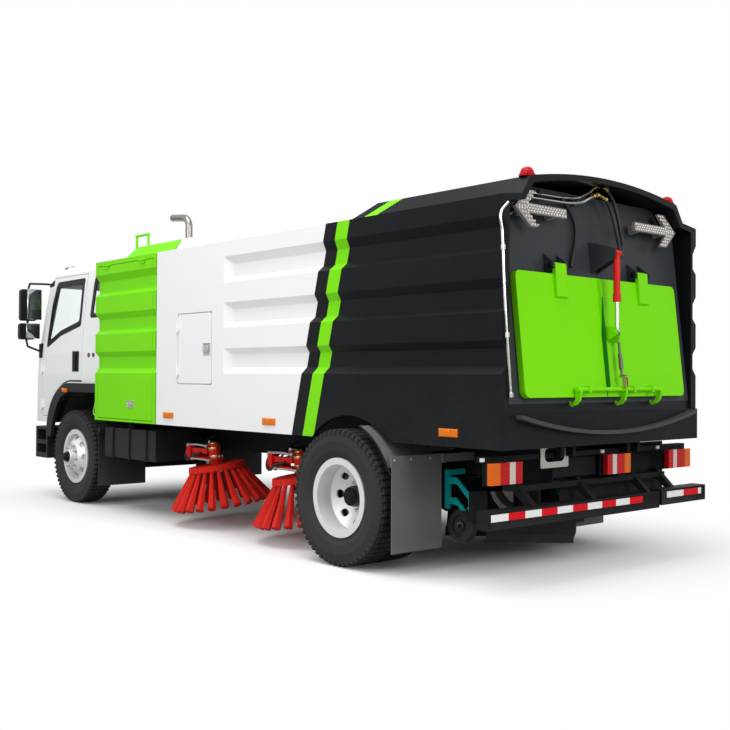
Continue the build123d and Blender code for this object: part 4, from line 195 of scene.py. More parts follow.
# %% Boxes and bands of another colour
# A part that carries several colours is told where each one lies by its place on the truck.
box_group, given, result = new_group(
    "box_mask",
    [("Vector", VECTOR, None), ("Low", VECTOR, (0, 0, 0)), ("High", VECTOR, (1, 1, 1))],
    [("Mask", FLOAT)],
)
here, low, high = (add(box_group, "SeparateXYZ", {0: given[label]}).outputs
                   for label in ("Vector", "Low", "High"))
inside = None
for axis in "XYZ":
    above = math_node(box_group, "GREATER_THAN", here[axis], low[axis])
    below = math_node(box_group, "LESS_THAN", here[axis], high[axis])
    both = math_node(box_group, "MULTIPLY", above, below)
    inside = both if inside is None else math_node(box_group, "MULTIPLY", inside, both)
box_group.links.new(inside, result["Mask"])
print("groups", [g.name for g in bpy.data.node_groups])

# %% [markdown]
# ## Finishes
#
# One class lays out the common tree: a base colour that varies a little, boxes of other colours,
# dust over them, roughness and a fine bump. Each finish then states its own numbers. Dark paint
# under a white sky looks grey when its clear layer is strong, so the gloss is a number too.

# %% The finish builder
class Finish:
    """A material being built: its tree, its shader and the colour made so far."""

    def __init__(self, name, colour, roughness=0.4, metallic=0.0, vary=0.08, gloss=0.3):
        self.material = bpy.data.materials.new(name)
        self.material.use_nodes = True
        self.material.diffuse_color = (*colour, 1)
        self.tree = self.material.node_tree
        self.tree.nodes.clear()
        self.shader = self.add("BsdfPrincipled", {"Metallic": metallic, "Specular IOR Level": gloss})
        self.out = self.add("OutputMaterial", {0: self.shader.outputs[0]})
        self.coords = self.add("TexCoord").outputs["Object"]
        self.x, self.y, self.z = self.add("SeparateXYZ", {0: self.coords}).outputs
        cloud = noise_node(self.tree, self.coords, 1.7, 4.0)
        pale = tuple(min(1.0, c * (1 + vary)) for c in colour)
        deep = tuple(c * (1 - vary) for c in colour)
        self.colour = self.mix(cloud, deep, pale)
        self.rough = roughness
        self.height = None

    def add(self, kind, inputs=None, **settings):
        return add(self.tree, kind, inputs, **settings)

    def maths(self, operation, *values, clamp=False):
        return math_node(self.tree, operation, *values, clamp=clamp)

    def mix(self, mask, first, second):
        first, second = ((*c, 1) if isinstance(c, tuple) else c for c in (first, second))
        return self.add("Mix", {"Factor": mask, 6: first, 7: second}, data_type="RGBA").outputs[2]

    def over(self, mask, colour):
        self.colour = self.mix(mask, self.colour, colour)

    def effect(self, group, inputs):
        """What one of the shared groups gives."""
        return self.add("Group", {"Vector": self.coords, **inputs}, node_tree=group).outputs

    def region(self, low, high, colour):
        self.over(self.effect(box_group, {"Low": low, "High": high})["Mask"], colour)

    def relief(self, height, depth):
        """Fine relief, in metres, from a height between 0 and 1."""
        self.height = self.add("Bump", {"Distance": depth, "Strength": 1.0, "Height": height})

    def round_the_axle(self):
        """(distance from the nearer axle, angle round it), for wheels and tyres."""
        middle = (REAR_AXLE + FRONT_AXLE) / 2
        half_base = (FRONT_AXLE - REAR_AXLE) / 2
        along = self.maths("SUBTRACT", self.x, middle)
        along = self.maths("SUBTRACT", self.maths("ABSOLUTE", along), half_base)
        rise = self.maths("SUBTRACT", self.z, WHEEL_HEIGHT)
        far = self.maths("MULTIPLY_ADD", along, along, self.maths("MULTIPLY", rise, rise))
        return self.maths("SQRT", far), self.maths("ARCTAN2", rise, along)

    def close(self, dust=0.15, clean=1.2, dust_colour=(0.30, 0.28, 0.25), bump_scale=60.0, bump=0.05,
              rough_vary=0.12):
        """Lay dust over the colour, add the fine bump and hand over the material."""
        dusty = self.effect(dust_group, {"Clean Height": clean, "Amount": dust})["Mask"]
        self.over(dusty, dust_colour)
        surface = self.effect(uneven_group, {"Scale": bump_scale, "Strength": bump})
        normal = surface["Normal"]
        if self.height:
            self.tree.links.new(normal, self.height.inputs["Normal"])
            normal = self.height.outputs["Normal"]
        worn = self.maths("MULTIPLY", surface["Value"], rough_vary)
        worn = self.maths("ADD", worn, self.rough - rough_vary / 2)
        worn = self.maths("MULTIPLY_ADD", dusty, 0.4, worn)
        for label, socket in (("Base Color", self.colour), ("Normal", normal), ("Roughness", worn)):
            self.tree.links.new(socket, self.shader.inputs[label])
        return self.material


def coat(name, colour, roughness, metallic=0.0, vary=0.08, gloss=0.3, **surface):
    """A finish of one colour all over."""
    return Finish(name, colour, roughness, metallic, vary, gloss).close(**surface)


def pair(stem):
    """The left and right names of what the truck has on both sides."""
    return stem + "_left", stem + "_right"


def wear(*names_and_material):
    """Give a finish to CAD nodes."""
    *names, material = names_and_material
    for name in names:
        part = nodes[name]
        part.data.materials.clear()
        part.data.materials.append(material)


# %% [markdown]
# ### Body paint
#
# The pressed body is white in front and near-black behind a slanted border, with a bright green
# stripe inside the dark part. The border is a line across the side, so its mask is the distance
# along X to that line, which moves back as the height grows. Over the wheels the body is lined
# with black.

# %% Body paint
WHITE = (0.86, 0.86, 0.855)
DARK = (0.0035, 0.0045, 0.0065)
LIT_WALL_GREY = (0.036, 0.040, 0.046)
BLACK = (0.004, 0.004, 0.005)
GREEN = (0.195, 0.72, 0.004)
BORDER_LOW_X = REAR_AXLE + 0.693
BORDER_LOW_Z = 0.95
BORDER_SLOPE = 0.255
ROOF_START = 2.60
ROOF_SLOPE = 1.75
BAND = 0.141
ARCH_HALF = 0.635
ARCH = (REAR_AXLE - ARCH_HALF, -1.149, 0.85), (REAR_AXLE + ARCH_HALF, 1.149, 1.125)
UNDERSIDE = (-4, -1.10, 0.85), (4, 1.10, 1.10)
body_paint = Finish("body_paint", WHITE, 0.36, vary=0.015, gloss=0.10)
maths = body_paint.maths
height = body_paint.z
lean = maths("MULTIPLY", maths("SUBTRACT", height, BORDER_LOW_Z), BORDER_SLOPE)
roof = maths("MAXIMUM", maths("SUBTRACT", height, ROOF_START), 0.0)
lean = maths("MULTIPLY_ADD", roof, ROOF_SLOPE, lean)
from_border = maths("SUBTRACT", body_paint.x, BORDER_LOW_X)
from_border = maths("ADD", from_border, lean)
body_paint.over(maths("LESS_THAN", from_border, 0.0), DARK)
first_edge = maths("LESS_THAN", from_border, -BAND)
second_edge = maths("GREATER_THAN", from_border, -2 * BAND)
body_paint.over(maths("MULTIPLY", first_edge, second_edge), GREEN)
body_paint.region(*ARCH, BLACK)
body_paint.region(*UNDERSIDE, BLACK)
wear("body_shell", body_paint.close(dust=0.10, clean=1.7, bump_scale=9.0, bump=0.05))

# %% Rear wall
LIP_GREY = (0.055, 0.057, 0.060)
SILL = (-4, -1.3, 0.7), (-3, 1.3, 1.235)
LIP = (-3.80, -1.04, 1.0), (-3.7095, 1.04, 1.20)
# The wall's grey is the body's dark paint made lighter, as painted light on the rear face; the sill keeps the
# dark paint.
rear_paint = Finish("rear_wall_paint", LIT_WALL_GREY, 0.36, vary=0.15, gloss=0.10)
rear_paint.region(*SILL, DARK)
rear_paint.region(*LIP, LIP_GREY)
wear("rear_wall", rear_paint.close(dust=0.08, clean=1.6, bump_scale=14, bump=0.08))

# %% Green, white and black paint
green_material = coat("green_paint", GREEN, 0.36, vary=0.03, gloss=0.06, dust=0.08, clean=1.5, bump_scale=10,
                      bump=0.05)
wear(*pair("compartment_door"), "engine_compartment", "lock_shaft", green_material)

DARK_GREEN = (0.012, 0.16, 0.012)
DOOR_RIB_STRIP = (-3.9, 0.043, 1.2), (-3.67, 0.055, 2.2)
door_paint = Finish("tailgate_paint", GREEN, 0.36, vary=0.03, gloss=0.06)
# A narrow upright strip along the rib of the door is painted darker green.
door_paint.region(*DOOR_RIB_STRIP, DARK_GREEN)
wear("discharge_door", door_paint.close(dust=0.05, clean=1.5, bump_scale=10, bump=0.05))

white_material = coat("white_paint", WHITE, 0.32, vary=0.015, dust=0.05, clean=1.3, bump_scale=8, bump=0.03)
wear(*pair("cab_door"), "access_door", white_material)

CAB_UNDERSIDE = (2.0, -1.012, 0.6), (3.31, 1.012, 1.26)
CAB_ROOM = (2.0, -0.94, 0.6), (3.70, 0.94, 1.66)
cab_paint = Finish("cab_paint", WHITE, 0.32, vary=0.015)
cab_paint.region(*CAB_UNDERSIDE, BLACK)
cab_paint.region(*CAB_ROOM, (0.03, 0.031, 0.034))
wear("cab_shell", cab_paint.close(dust=0.05, clean=1.3, bump_scale=8, bump=0.03))

black_material = coat("chassis_black", (0.007, 0.0075, 0.0085), 0.5, vary=0.3, gloss=0.06, dust=0.12,
                      clean=0.9, bump_scale=50, bump=0.15)
wear("chassis_frame", "front_axle", "rear_axle", *pair("knuckle"), "rear_bumper", "hoist_barrel",
     black_material)

plastic_material = coat("black_plastic", (0.009, 0.0105, 0.0125), 0.45, vary=0.2, gloss=0.15, dust=0.12,
                        clean=1.0, bump_scale=160, bump=0.15)
wear("front_bumper", "side_tanks", "cab_trim", "mirrors", plastic_material)

cabin_coat = coat("cab_lining", (0.045, 0.047, 0.05), 0.7, vary=0.2, gloss=0.2, dust=0.05, bump_scale=220,
                  bump=0.3)
wear("cab_interior", cabin_coat)

iron_coat = coat("engine_iron", (0.09, 0.09, 0.095), 0.6, metallic=0.5, vary=0.25, dust=0.4, bump_scale=70,
                 bump=0.3)
wear("truck_engine", "sweeping_engine", iron_coat)

# %% [markdown]
# ### Rubber
#
# Tyres, mud flaps and brushes are soft black or red stuff. A tyre's pattern runs round its axle,
# so its grooves and rings come from the distance to the axle and the angle round it. The flaps
# have a fine woven face.

# %% Tyre rubber
TREAD_START = 0.500
TREAD_TURNS = 60
rubber = Finish("tyre_rubber", (0.030, 0.030, 0.031), 0.68, vary=0.2, gloss=0.16)
maths = rubber.maths
radius, angle = rubber.round_the_axle()
across = rubber.y
zigzag = maths("PINGPONG", across, 0.026)
turned = maths("MULTIPLY_ADD", zigzag, 34.0, maths("MULTIPLY", angle, TREAD_TURNS))
cross_groove = maths("GREATER_THAN", maths("SINE", turned), 0.55)
ring_groove = maths("LESS_THAN", maths("PINGPONG", across, 0.024), 0.004)
groove = maths("MAXIMUM", cross_groove, ring_groove)
groove = maths("MULTIPLY", groove, maths("GREATER_THAN", radius, TREAD_START))
rings = maths("MULTIPLY_ADD", maths("SINE", maths("MULTIPLY", radius, 700.0)), 0.06, 0.5)
raised = maths("SUBTRACT", rings, maths("MULTIPLY", groove, 0.5))
# The grooves are painted near-black, darker than the rubber: painted shade in the grooves.
rubber.over(groove, BLACK)
rubber.relief(raised, 0.008)
TYRE_DUST = (0.12, 0.115, 0.10)
rubber_material = rubber.close(dust=0.16, clean=0.9, dust_colour=TYRE_DUST, bump_scale=120, bump=0.2)
wear(*pair("tyre_front"), *pair("tyres_rear"), rubber_material)

solid_material = coat("solid_rubber", (0.014, 0.0145, 0.015), 0.7, vary=0.2, gloss=0.22, dust=0.3, clean=0.6,
                      bump_scale=150, bump=0.25)
wear(*pair("nozzle_castor"), solid_material)

# %% Flap rubber
FRONT_FLAPS = (0.5, -1.3, 0.2), (2.6, 1.3, 1.3)
flap = Finish("flap_rubber", (0.150, 0.150, 0.145), 0.6, vary=0.3, gloss=0.2)
maths = flap.maths
weave = maths("MULTIPLY_ADD", flap.y, 0.35, flap.z)
weave = maths("SINE", maths("MULTIPLY", weave, 620.0))
flap.region(*FRONT_FLAPS, (0.016, 0.0165, 0.017))
flap.relief(maths("MULTIPLY_ADD", weave, 0.5, 0.5), 0.002)
wear("mudguards", flap.close(dust=0.28, clean=0.8, bump_scale=90, bump=0.4))

# %% Wheel paint
# The rims and discs are silver, and the hubs in their middle black.
HUB_EDGE = 0.098
FRONT_HUB_LESS = 0.036
silver = Finish("wheel_silver", (0.80, 0.80, 0.80), 0.34, metallic=0.30, vary=0.06, gloss=0.4)
radius, angle = silver.round_the_axle()
front_wheel = silver.maths("GREATER_THAN", silver.x, 0.0)
hub_edge = silver.maths("MULTIPLY_ADD", front_wheel, -FRONT_HUB_LESS, HUB_EDGE)
silver.over(silver.maths("LESS_THAN", radius, hub_edge), (0.012, 0.012, 0.013))
silver_material = silver.close(dust=0.16, clean=0.9, bump_scale=45, bump=0.06)
wear(*pair("wheel_front"), *pair("wheels_rear"), silver_material)

# %% Steel, red paint and brass
bright_material = coat("bright_steel", (0.58, 0.58, 0.57), 0.24, metallic=1.0, vary=0.1, gloss=0.5,
                       dust=0.05, bump_scale=80, bump=0.06)
smoked_coat = coat("exhaust_steel", (0.26, 0.25, 0.235), 0.26, metallic=1.0, vary=0.25, gloss=0.5, dust=0.05,
                   bump_scale=40, bump=0.06)
wear("exhaust_pipe", smoked_coat)
wear("hydraulic_lines", "hoist_rod", "door_cylinder_rod", bright_material)

LINK_FOOT = (-4, -0.2, 1.3), (-3, 0.2, 1.425)
link = Finish("link_steel", (0.10, 0.10, 0.09), 0.35, metallic=0.7, vary=0.2, gloss=0.5)
link.region(*LINK_FOOT, (0.55, 0.40, 0.16))
wear("lock_pull_link", link.close(dust=0.05, bump_scale=80, bump=0.1))

brass_material = coat("brass", (0.60, 0.40, 0.13), 0.3, metallic=1.0, vary=0.15, gloss=0.5, dust=0.1,
                      bump_scale=90, bump=0.1)

zinc_material = coat("zinc_plate", (0.52, 0.51, 0.47), 0.38, metallic=0.8, vary=0.12, gloss=0.5, dust=0.1,
                     bump_scale=90, bump=0.1)

red_material = coat("red_paint", (0.62, 0.008, 0.007), 0.36, vary=0.1, gloss=0.18, dust=0.08, clean=0.9,
                    bump_scale=30, bump=0.08)
wear("door_cylinder_barrel", *pair("broom_arm_front"), *pair("broom_arm_rear"), red_material)

# %% Bristles
bristle = Finish("bristles", (0.80, 0.022, 0.012), 0.55, vary=0.25, gloss=0.12)
stretch = bristle.add("Mapping", {"Vector": bristle.coords, "Scale": (1, 1, 0.06)}).outputs[0]
strands = bristle.add("TexNoise", {"Vector": stretch, "Scale": 330.0, "Detail": 1.0}).outputs["Fac"]
shade = bristle.maths("GREATER_THAN", strands, 0.56)
bristle.over(bristle.maths("MULTIPLY", shade, 0.55), (0.30, 0.006, 0.003))
bristle.relief(strands, 0.006)
bristle_material = bristle.close(dust=0.06, clean=0.5, bump_scale=260, bump=0.3)
wear(*pair("broom_front"), *pair("broom_rear"), bristle_material)

# %% Nozzle
# The suction hood is black, and the linkage that carries it a dark turquoise.
TEAL = (0.0, 0.27, 0.28)
nozzle = Finish("nozzle_paint", (0.007, 0.0075, 0.008), 0.5, vary=0.3, gloss=0.12)
for low, high in ((0.49, 0.68), (-0.68, -0.62)):
    nozzle.region((-2.962, low, 0.44), (-2.70, high, 0.74), TEAL)
wear("suction_nozzle", nozzle.close(dust=0.15, clean=0.6, bump_scale=40, bump=0.12))

# %% [markdown]
# ### Glass and lamps
#
# Cab glass is clear with a green cast. Lamp lenses are coloured plastic over a bright back, so
# they are plain glossy colours here, in strips: one lens holds the turn, stop and reverse lamps.

# %% Glass and lamps
glass = Finish("cab_glass", (0.93, 0.965, 0.96), 0.03, vary=0.01, gloss=0.5)
glass.shader.inputs["Transmission Weight"].default_value = 1.0
glass.shader.inputs["IOR"].default_value = 1.12
wear("cab_glass", *pair("door_glass"), glass.close(dust=0.0, bump=0.0, rough_vary=0.01))

clear_material = coat("clear_lens", (0.70, 0.72, 0.74), 0.1, vary=0.03, gloss=0.5, dust=0.05, bump_scale=200,
                      bump=0.1)
wear("head_lamps", clear_material)

AMBER = (0.72, 0.13, 0.004)
LENS_WHITE = (0.62, 0.55, 0.52)
LENS_RED = (0.50, 0.002, 0.004)
LAMP_FRONT = -3.597
LAMP_X, LAMP_Z = (-3.7, -3.5), (0.7, 0.9)
LAMP_STRIPS = ((1.09, 1.176, AMBER), (0.94, 0.998, LENS_WHITE),
               (-0.188, -0.138, LENS_WHITE), (-0.361, -0.287, AMBER),
               (-0.983, -0.933, LENS_WHITE), (-1.176, -1.097, AMBER))
red_lens = Finish("red_lens", LENS_RED, 0.14, vary=0.05, gloss=0.15)
for low, high, colour in LAMP_STRIPS:
    red_lens.region((LAMP_X[0], low, LAMP_Z[0]), (LAMP_X[1], high, LAMP_Z[1]), colour)
red_lens.region((LAMP_FRONT, -1.2, LAMP_Z[0]), (LAMP_X[1], 1.2, LAMP_Z[1]), (0.010, 0.010, 0.011))
prisms = red_lens.maths("PINGPONG", red_lens.z, 0.006)
red_lens.relief(red_lens.maths("MULTIPLY", prisms, 160.0), 0.002)
red_lens_material = red_lens.close(dust=0.05, bump_scale=220, bump=0.15)
wear("tail_lamps", "beacons", red_lens_material)

amber_lens = Finish("amber_lens", AMBER, 0.16, vary=0.08, gloss=0.2)
cells = amber_lens.add("TexVoronoi", {"Vector": amber_lens.coords, "Scale": 160.0})
amber_lens.over(cells.outputs["Distance"], (0.80, 0.22, 0.012))
amber_material = amber_lens.close(dust=0.03, bump_scale=220, bump=0.2)

board_coat = coat("board_grey", (0.30, 0.275, 0.27), 0.5, vary=0.08, dust=0.05, bump_scale=120, bump=0.1)
wear("arrow_boards", board_coat)

lit = Finish("warm_diode", (0.95, 0.93, 0.86), 0.25, vary=0.03, gloss=0.5)
lit.shader.inputs["Emission Color"].default_value = (1.0, 0.94, 0.80, 1)
lit.shader.inputs["Emission Strength"].default_value = 0.15
diode_material = lit.close(dust=0.0, bump=0.0)

# %% Small finishes
hose_material = coat("hose_rubber", (0.010, 0.010, 0.011), 0.5, vary=0.2, gloss=0.3, dust=0.1,
                     bump_scale=300, bump=0.25)
trim_material = coat("trim_black", (0.005, 0.005, 0.006), 0.4, vary=0.2, gloss=0.12, dust=0.03,
                     bump_scale=200, bump=0.1)
mirror_material = coat("mirror_glass", (0.42, 0.45, 0.47), 0.04, metallic=1.0, vary=0.04, gloss=0.5,
                       dust=0.02, bump=0.0, rough_vary=0.02)
dull_red_material = coat("reflector_red", (0.11, 0.012, 0.009), 0.2, vary=0.1, gloss=0.5, dust=0.03,
                         bump_scale=300, bump=0.2)
thin_green_material = coat("green_hose", (0.35, 0.75, 0.10), 0.4, vary=0.08, dust=0.05, bump_scale=200,
                           bump=0.1)
print("finishes", len(bpy.data.materials))

# %% Reflective tape
# The tape on the bumper alternates white and red, a sixth of a metre each, with a fine cell pattern.
TAPE_START = 1.264
TAPE_STEP = 0.167
SHORT_START, SHORT_RED, SHORT_END = -0.700, -0.955, -1.165
tape = Finish("reflective_tape", (0.83, 0.83, 0.83), 0.3, vary=0.03, gloss=0.08)
maths = tape.maths
along_tape = maths("SUBTRACT", TAPE_START, tape.y)
odd = maths("GREATER_THAN", maths("FLOORED_MODULO", along_tape, 2 * TAPE_STEP), TAPE_STEP)
other = maths("LESS_THAN", tape.y, SHORT_RED)
short = maths("LESS_THAN", tape.y, SHORT_START)
odd = maths("ADD", maths("MULTIPLY", odd, maths("SUBTRACT", 1.0, short)), other, clamp=True)
odd = maths("MULTIPLY", odd, maths("GREATER_THAN", tape.y, SHORT_END))
tape.over(odd, (0.70, 0.004, 0.010))
tape_material = tape.close(dust=0.04, bump_scale=500, bump=0.1)

# %% [markdown]
# ## Small pieces
#
# The solids hold every form that can be seen from a step away. What follows is smaller: tyre
# blocks, nuts, seals, lamps, hoses. Each is shaped from a primitive in edit mode, where faces
# are picked by their place and normal, and then put on the body that it moves with. What
# stands on the left is copied to the right.

# %% Modelling helpers
def begin(primitive, **where):
    """Add a primitive with nothing else selected."""
    bpy.ops.object.select_all(action="DESELECT")
    primitive(**where)
    return bpy.context.active_object


def pick(piece, test):
    """Enter edit mode with only the faces selected whose centre and normal pass the test."""
    bpy.ops.object.mode_set(mode="EDIT")
    bpy.ops.mesh.select_mode(type="FACE")
    bpy.ops.mesh.select_all(action="DESELECT")
    bpy.ops.object.mode_set(mode="OBJECT")
    for face in piece.data.polygons:
        face.select = test(face.center, face.normal)
    bpy.ops.object.mode_set(mode="EDIT")


def done():
    bpy.ops.object.mode_set(mode="OBJECT")


def inner_face(piece, way, rim):
    """Pick the faces that look one way and inset them, which leaves the inner faces picked."""
    pick(piece, lambda centre, normal: normal.dot(way) > 0.9)
    bpy.ops.mesh.inset(thickness=rim)


def crown(piece, way, rim, rise=0.0):
    """Raise the middle of a face, with a sloping rim."""
    inner_face(piece, way, rim)
    bpy.ops.transform.translate(value=tuple(way * rise))
    done()
    return piece


def ledge(piece, way, rim, rise):
    """Raise or sink the middle of a face, with a square edge."""
    inner_face(piece, way, rim)
    bpy.ops.mesh.extrude_region_move(TRANSFORM_OT_translate={"value": tuple(way * rise)})
    done()
    return piece


def block(centre, size, turn=(0, 0, 0)):
    """A box whose place and size are in its mesh."""
    piece = begin(bpy.ops.mesh.primitive_cube_add, size=1, location=centre, rotation=turn, scale=size)
    bpy.ops.object.transform_apply(location=True, rotation=True, scale=True)
    return piece


def barrel(centre, radius, depth, turn=(0, 0, 0), sides=16):
    piece = begin(bpy.ops.mesh.primitive_cylinder_add, vertices=sides, radius=radius, depth=depth,
                  location=centre, rotation=turn)
    bpy.ops.object.transform_apply(location=True, rotation=True, scale=True)
    return piece


def soften(piece, width, segments=2):
    """Round the sharp edges and shade the piece smooth between them."""
    bpy.context.view_layer.objects.active = piece
    bevel = piece.modifiers.new("edges", "BEVEL")
    bevel.width = width
    bevel.segments = segments
    bevel.limit_method = "ANGLE"
    bpy.ops.object.modifier_apply(modifier=bevel.name)
    bpy.ops.object.shade_smooth_by_angle()
    return piece


def join(pieces):
    bpy.ops.object.select_all(action="DESELECT")
    for piece in pieces:
        piece.select_set(True)
    bpy.context.view_layer.objects.active = pieces[0]
    if len(pieces) > 1:
        bpy.ops.object.join()
    return pieces[0]


def twin(piece):
    """A copy with its own mesh."""
    copy = piece.copy()
    copy.data = piece.data.copy()
    bpy.context.scene.collection.objects.link(copy)
    return copy


def repeat(master, places):
    """The piece copied by each matrix; the first itself isn't kept."""
    made = []
    for matrix in places:
        copy = twin(master)
        copy.data.transform(matrix)
        made.append(copy)
    bpy.data.objects.remove(master)
    return join(made)


def other_side(piece):
    """The piece's mirror image on the truck's other side."""
    copy = twin(piece)
    for vertex in copy.data.vertices:
        vertex.co.y = -vertex.co.y
    copy.data.flip_normals()
    return copy


def place(piece, name, material, body):
    piece.name = name
    piece.data.materials.clear()
    piece.data.materials.append(material)
    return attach(piece, body)


def both_sides(piece, name, material, bodies):
    """Put a left-hand piece and its mirror image on their bodies."""
    right = other_side(piece)
    place(piece, name + "_left", material, bodies[0])
    place(right, name + "_right", material, bodies[1])


def tube(points, radius, closed=False):
    """A hose or line: a curve through the points, given its thickness and made a mesh."""
    piece = begin(bpy.ops.curve.primitive_bezier_curve_add)
    curve = piece.data
    curve.splines.clear()
    spline = curve.splines.new("BEZIER")
    spline.bezier_points.add(len(points) - 1)
    spline.use_cyclic_u = closed
    for knot, point in zip(spline.bezier_points, points):
        knot.co = point
        knot.handle_left_type = knot.handle_right_type = "AUTO"
    curve.dimensions = "3D"
    curve.resolution_u = 8
    curve.bevel_depth = radius
    curve.bevel_resolution = 2
    curve.use_fill_caps = not closed
    bpy.ops.object.convert(target="MESH")
    bpy.ops.object.shade_smooth_by_angle()
    return bpy.context.active_object


AHEAD, BACK = Vector((1, 0, 0)), Vector((-1, 0, 0))
LEFT, UP = Vector((0, 1, 0)), Vector((0, 0, 1))
UPRIGHT = (0, 0, 0)
ACROSS = (math.pi / 2, 0, 0)
ALONG = (0, math.pi / 2, 0)
IN_CAB, ON_CHASSIS, ON_BODY = ("cab", "cab"), ("chassis", "chassis"), ("body", "body")
print("helpers ready")

# %% [markdown]
# ### Tyre blocks and wheel nuts
#
# A truck tyre bites with square blocks at its shoulders. One block is shaped at the top of the
# tyre and copied round the axle. The nuts have a hexagon and the end of the stud.

# %% Turning round an axle
def turns_about(centre, axis, count, start=0.0):
    """Turns about an axis through a point, for copies all round it."""
    turns = []
    for step in range(count):
        turn = Matrix.Rotation(2 * math.pi * (step + start) / count, 4, axis)
        turns.append(Matrix.Translation(centre) @ turn @ Matrix.Translation(-centre))
    return turns


def round_axle(axle, count, start=0.0):
    return turns_about(Vector((axle, 0, WHEEL_HEIGHT)), "Y", count, start)


# %% Tyre blocks
BLOCKS = 58
BLOCK_SIZE = (0.030, 0.034, 0.040)
BLOCK_OUT = 0.108
BLOCK_UP = 0.4882
FRONT_TYRE_Y, OUTER_TYRE_Y, INNER_TYRE_Y = 0.925, 1.140, 0.850


def tyre_blocks(axle, middle):
    rows = []
    for side in (1, -1):
        centre = (axle, middle + side * BLOCK_OUT, WHEEL_HEIGHT + BLOCK_UP)
        piece = block(centre, BLOCK_SIZE)
        pick(piece, lambda c, n: n.y * side > 0.9)
        bpy.ops.transform.resize(value=(0.82, 1, 0.7))
        bpy.ops.transform.translate(value=(0, 0, -0.003))
        done()
        rows.append(repeat(piece, round_axle(axle, BLOCKS, 0.5 * (side > 0))))
    return join(rows)


both_sides(tyre_blocks(FRONT_AXLE, FRONT_TYRE_Y), "tyre_blocks_front", rubber_material, pair("wheel_front"))
rear_blocks = join([tyre_blocks(REAR_AXLE, OUTER_TYRE_Y), tyre_blocks(REAR_AXLE, INNER_TYRE_Y)])
both_sides(rear_blocks, "tyre_blocks_rear", rubber_material, pair("wheels_rear"))
print("tyre blocks", 2 * 3 * 2 * BLOCKS)

# %% Wheel nuts
NUTS = 10
NUT_CIRCLE = 0.1270
FRONT_DISC_Y, REAR_DISC_Y = 1.070, 0.995


def wheel_nuts(axle, face):
    nut = barrel((axle, face + 0.010, WHEEL_HEIGHT + NUT_CIRCLE), 0.0165, 0.020, ACROSS, 6)
    nut = soften(ledge(nut, LEFT, 0.006, 0.014), 0.0015, 1)
    return repeat(nut, round_axle(axle, NUTS, 0.25))


both_sides(wheel_nuts(FRONT_AXLE, FRONT_DISC_Y), "wheel_nuts_front", zinc_material, pair("wheel_front"))
both_sides(wheel_nuts(REAR_AXLE, REAR_DISC_Y), "wheel_nuts_rear", zinc_material, pair("wheels_rear"))

# %% Hub caps
# Each hub ends in a round cap held by small bolts.
FRONT_HUB_Y, REAR_HUB_Y = 1.143, 1.125


def hub_cap(axle, face, radius):
    cap = barrel((axle, face, WHEEL_HEIGHT), radius, 0.012, ACROSS, 32)
    inner_face(cap, LEFT, radius * 0.35)
    bpy.ops.mesh.extrude_region_move(TRANSFORM_OT_translate={"value": (0, 0.014, 0)})
    bpy.ops.transform.resize(value=(0.8, 1, 0.8))
    done()
    soften(cap, 0.003)
    bolt = barrel((axle, face + 0.010, WHEEL_HEIGHT + radius * 0.82), 0.0065, 0.010, ACROSS, 6)
    return join([cap, repeat(crown(bolt, LEFT, 0.0015), round_axle(axle, 8))])


both_sides(hub_cap(FRONT_AXLE, FRONT_HUB_Y, 0.048), "hub_cap_front", trim_material, pair("wheel_front"))
both_sides(hub_cap(REAR_AXLE, REAR_HUB_Y, 0.070), "hub_cap_rear", trim_material, pair("wheels_rear"))

# %% [markdown]
# ### Window seals
#
# Round each side window runs a black rubber band, a few centimetres wide, which holds the glass.
# It is a flat ring between the opening's outline and the same outline moved inwards, laid on the
# cab's leaning side and given its thickness by a modifier.

# %% Outlines
CAB_HALF = ((0.860, 1.015), (1.400, 1.030), (1.650, 1.026), (2.420, 0.958), (2.560, 0.930))


def cab_half_width(z):
    for (low, half_low), (high, half_high) in zip(CAB_HALF, CAB_HALF[1:]):
        if z <= high:
            return half_low + (half_high - half_low) * (z - low) / (high - low)
    return CAB_HALF[-1][1]


def shrink(outline, width):
    """A closed outline moved inwards by a width."""
    ahead = outline[1:] + outline[:1]
    behind = outline[-1:] + outline[:-1]
    area = sum(a[0] * b[1] - b[0] * a[1] for a, b in zip(outline, ahead))
    side = 1 if area > 0 else -1
    moved = []
    for before, here, after in zip(behind, outline, ahead):
        first = (Vector(here) - Vector(before)).normalized()
        second = (Vector(after) - Vector(here)).normalized()
        inward = (Vector((-first.y, first.x)) + Vector((-second.y, second.x))) * side
        inward.normalize()
        squareness = max(0.4, inward.dot(Vector((-first.y, first.x)) * side))
        moved.append(tuple(Vector(here) + inward * width / squareness))
    return moved


def rounded(corners, radius, step=0.07):
    """The outline with rounded corners, and points along its straight runs."""
    points = []
    count = len(corners)
    for row, corner in enumerate(corners):
        here = Vector(corner)
        before = (Vector(corners[row - 1]) - here).normalized()
        after = Vector(corners[(row + 1) % count])
        onward = (after - here).normalized()
        start, end = here + before * radius, here + onward * radius
        for part in (0, 0.25, 0.5, 0.75, 1):
            points.append(start.lerp(here, part).lerp(here.lerp(end, part), part))
        next_start = after - onward * radius
        run = (next_start - end).length
        for part in range(1, int(run / step)):
            points.append(end.lerp(next_start, part / int(run / step)))
    return [tuple(point) for point in points]


def spread(points, count):
    """The outline as a number of points evenly far apart, starting from the same side."""
    ahead = points[1:] + points[:1]
    spans = [(Vector(b) - Vector(a)).length for a, b in zip(points, ahead)]
    total = sum(spans)
    made = []
    for step in range(count):
        reach = total * step / count
        for a, b, span in zip(points, ahead, spans):
            if reach <= span:
                made.append(tuple(Vector(a).lerp(Vector(b), reach / span)))
                break
            reach -= span
    return made


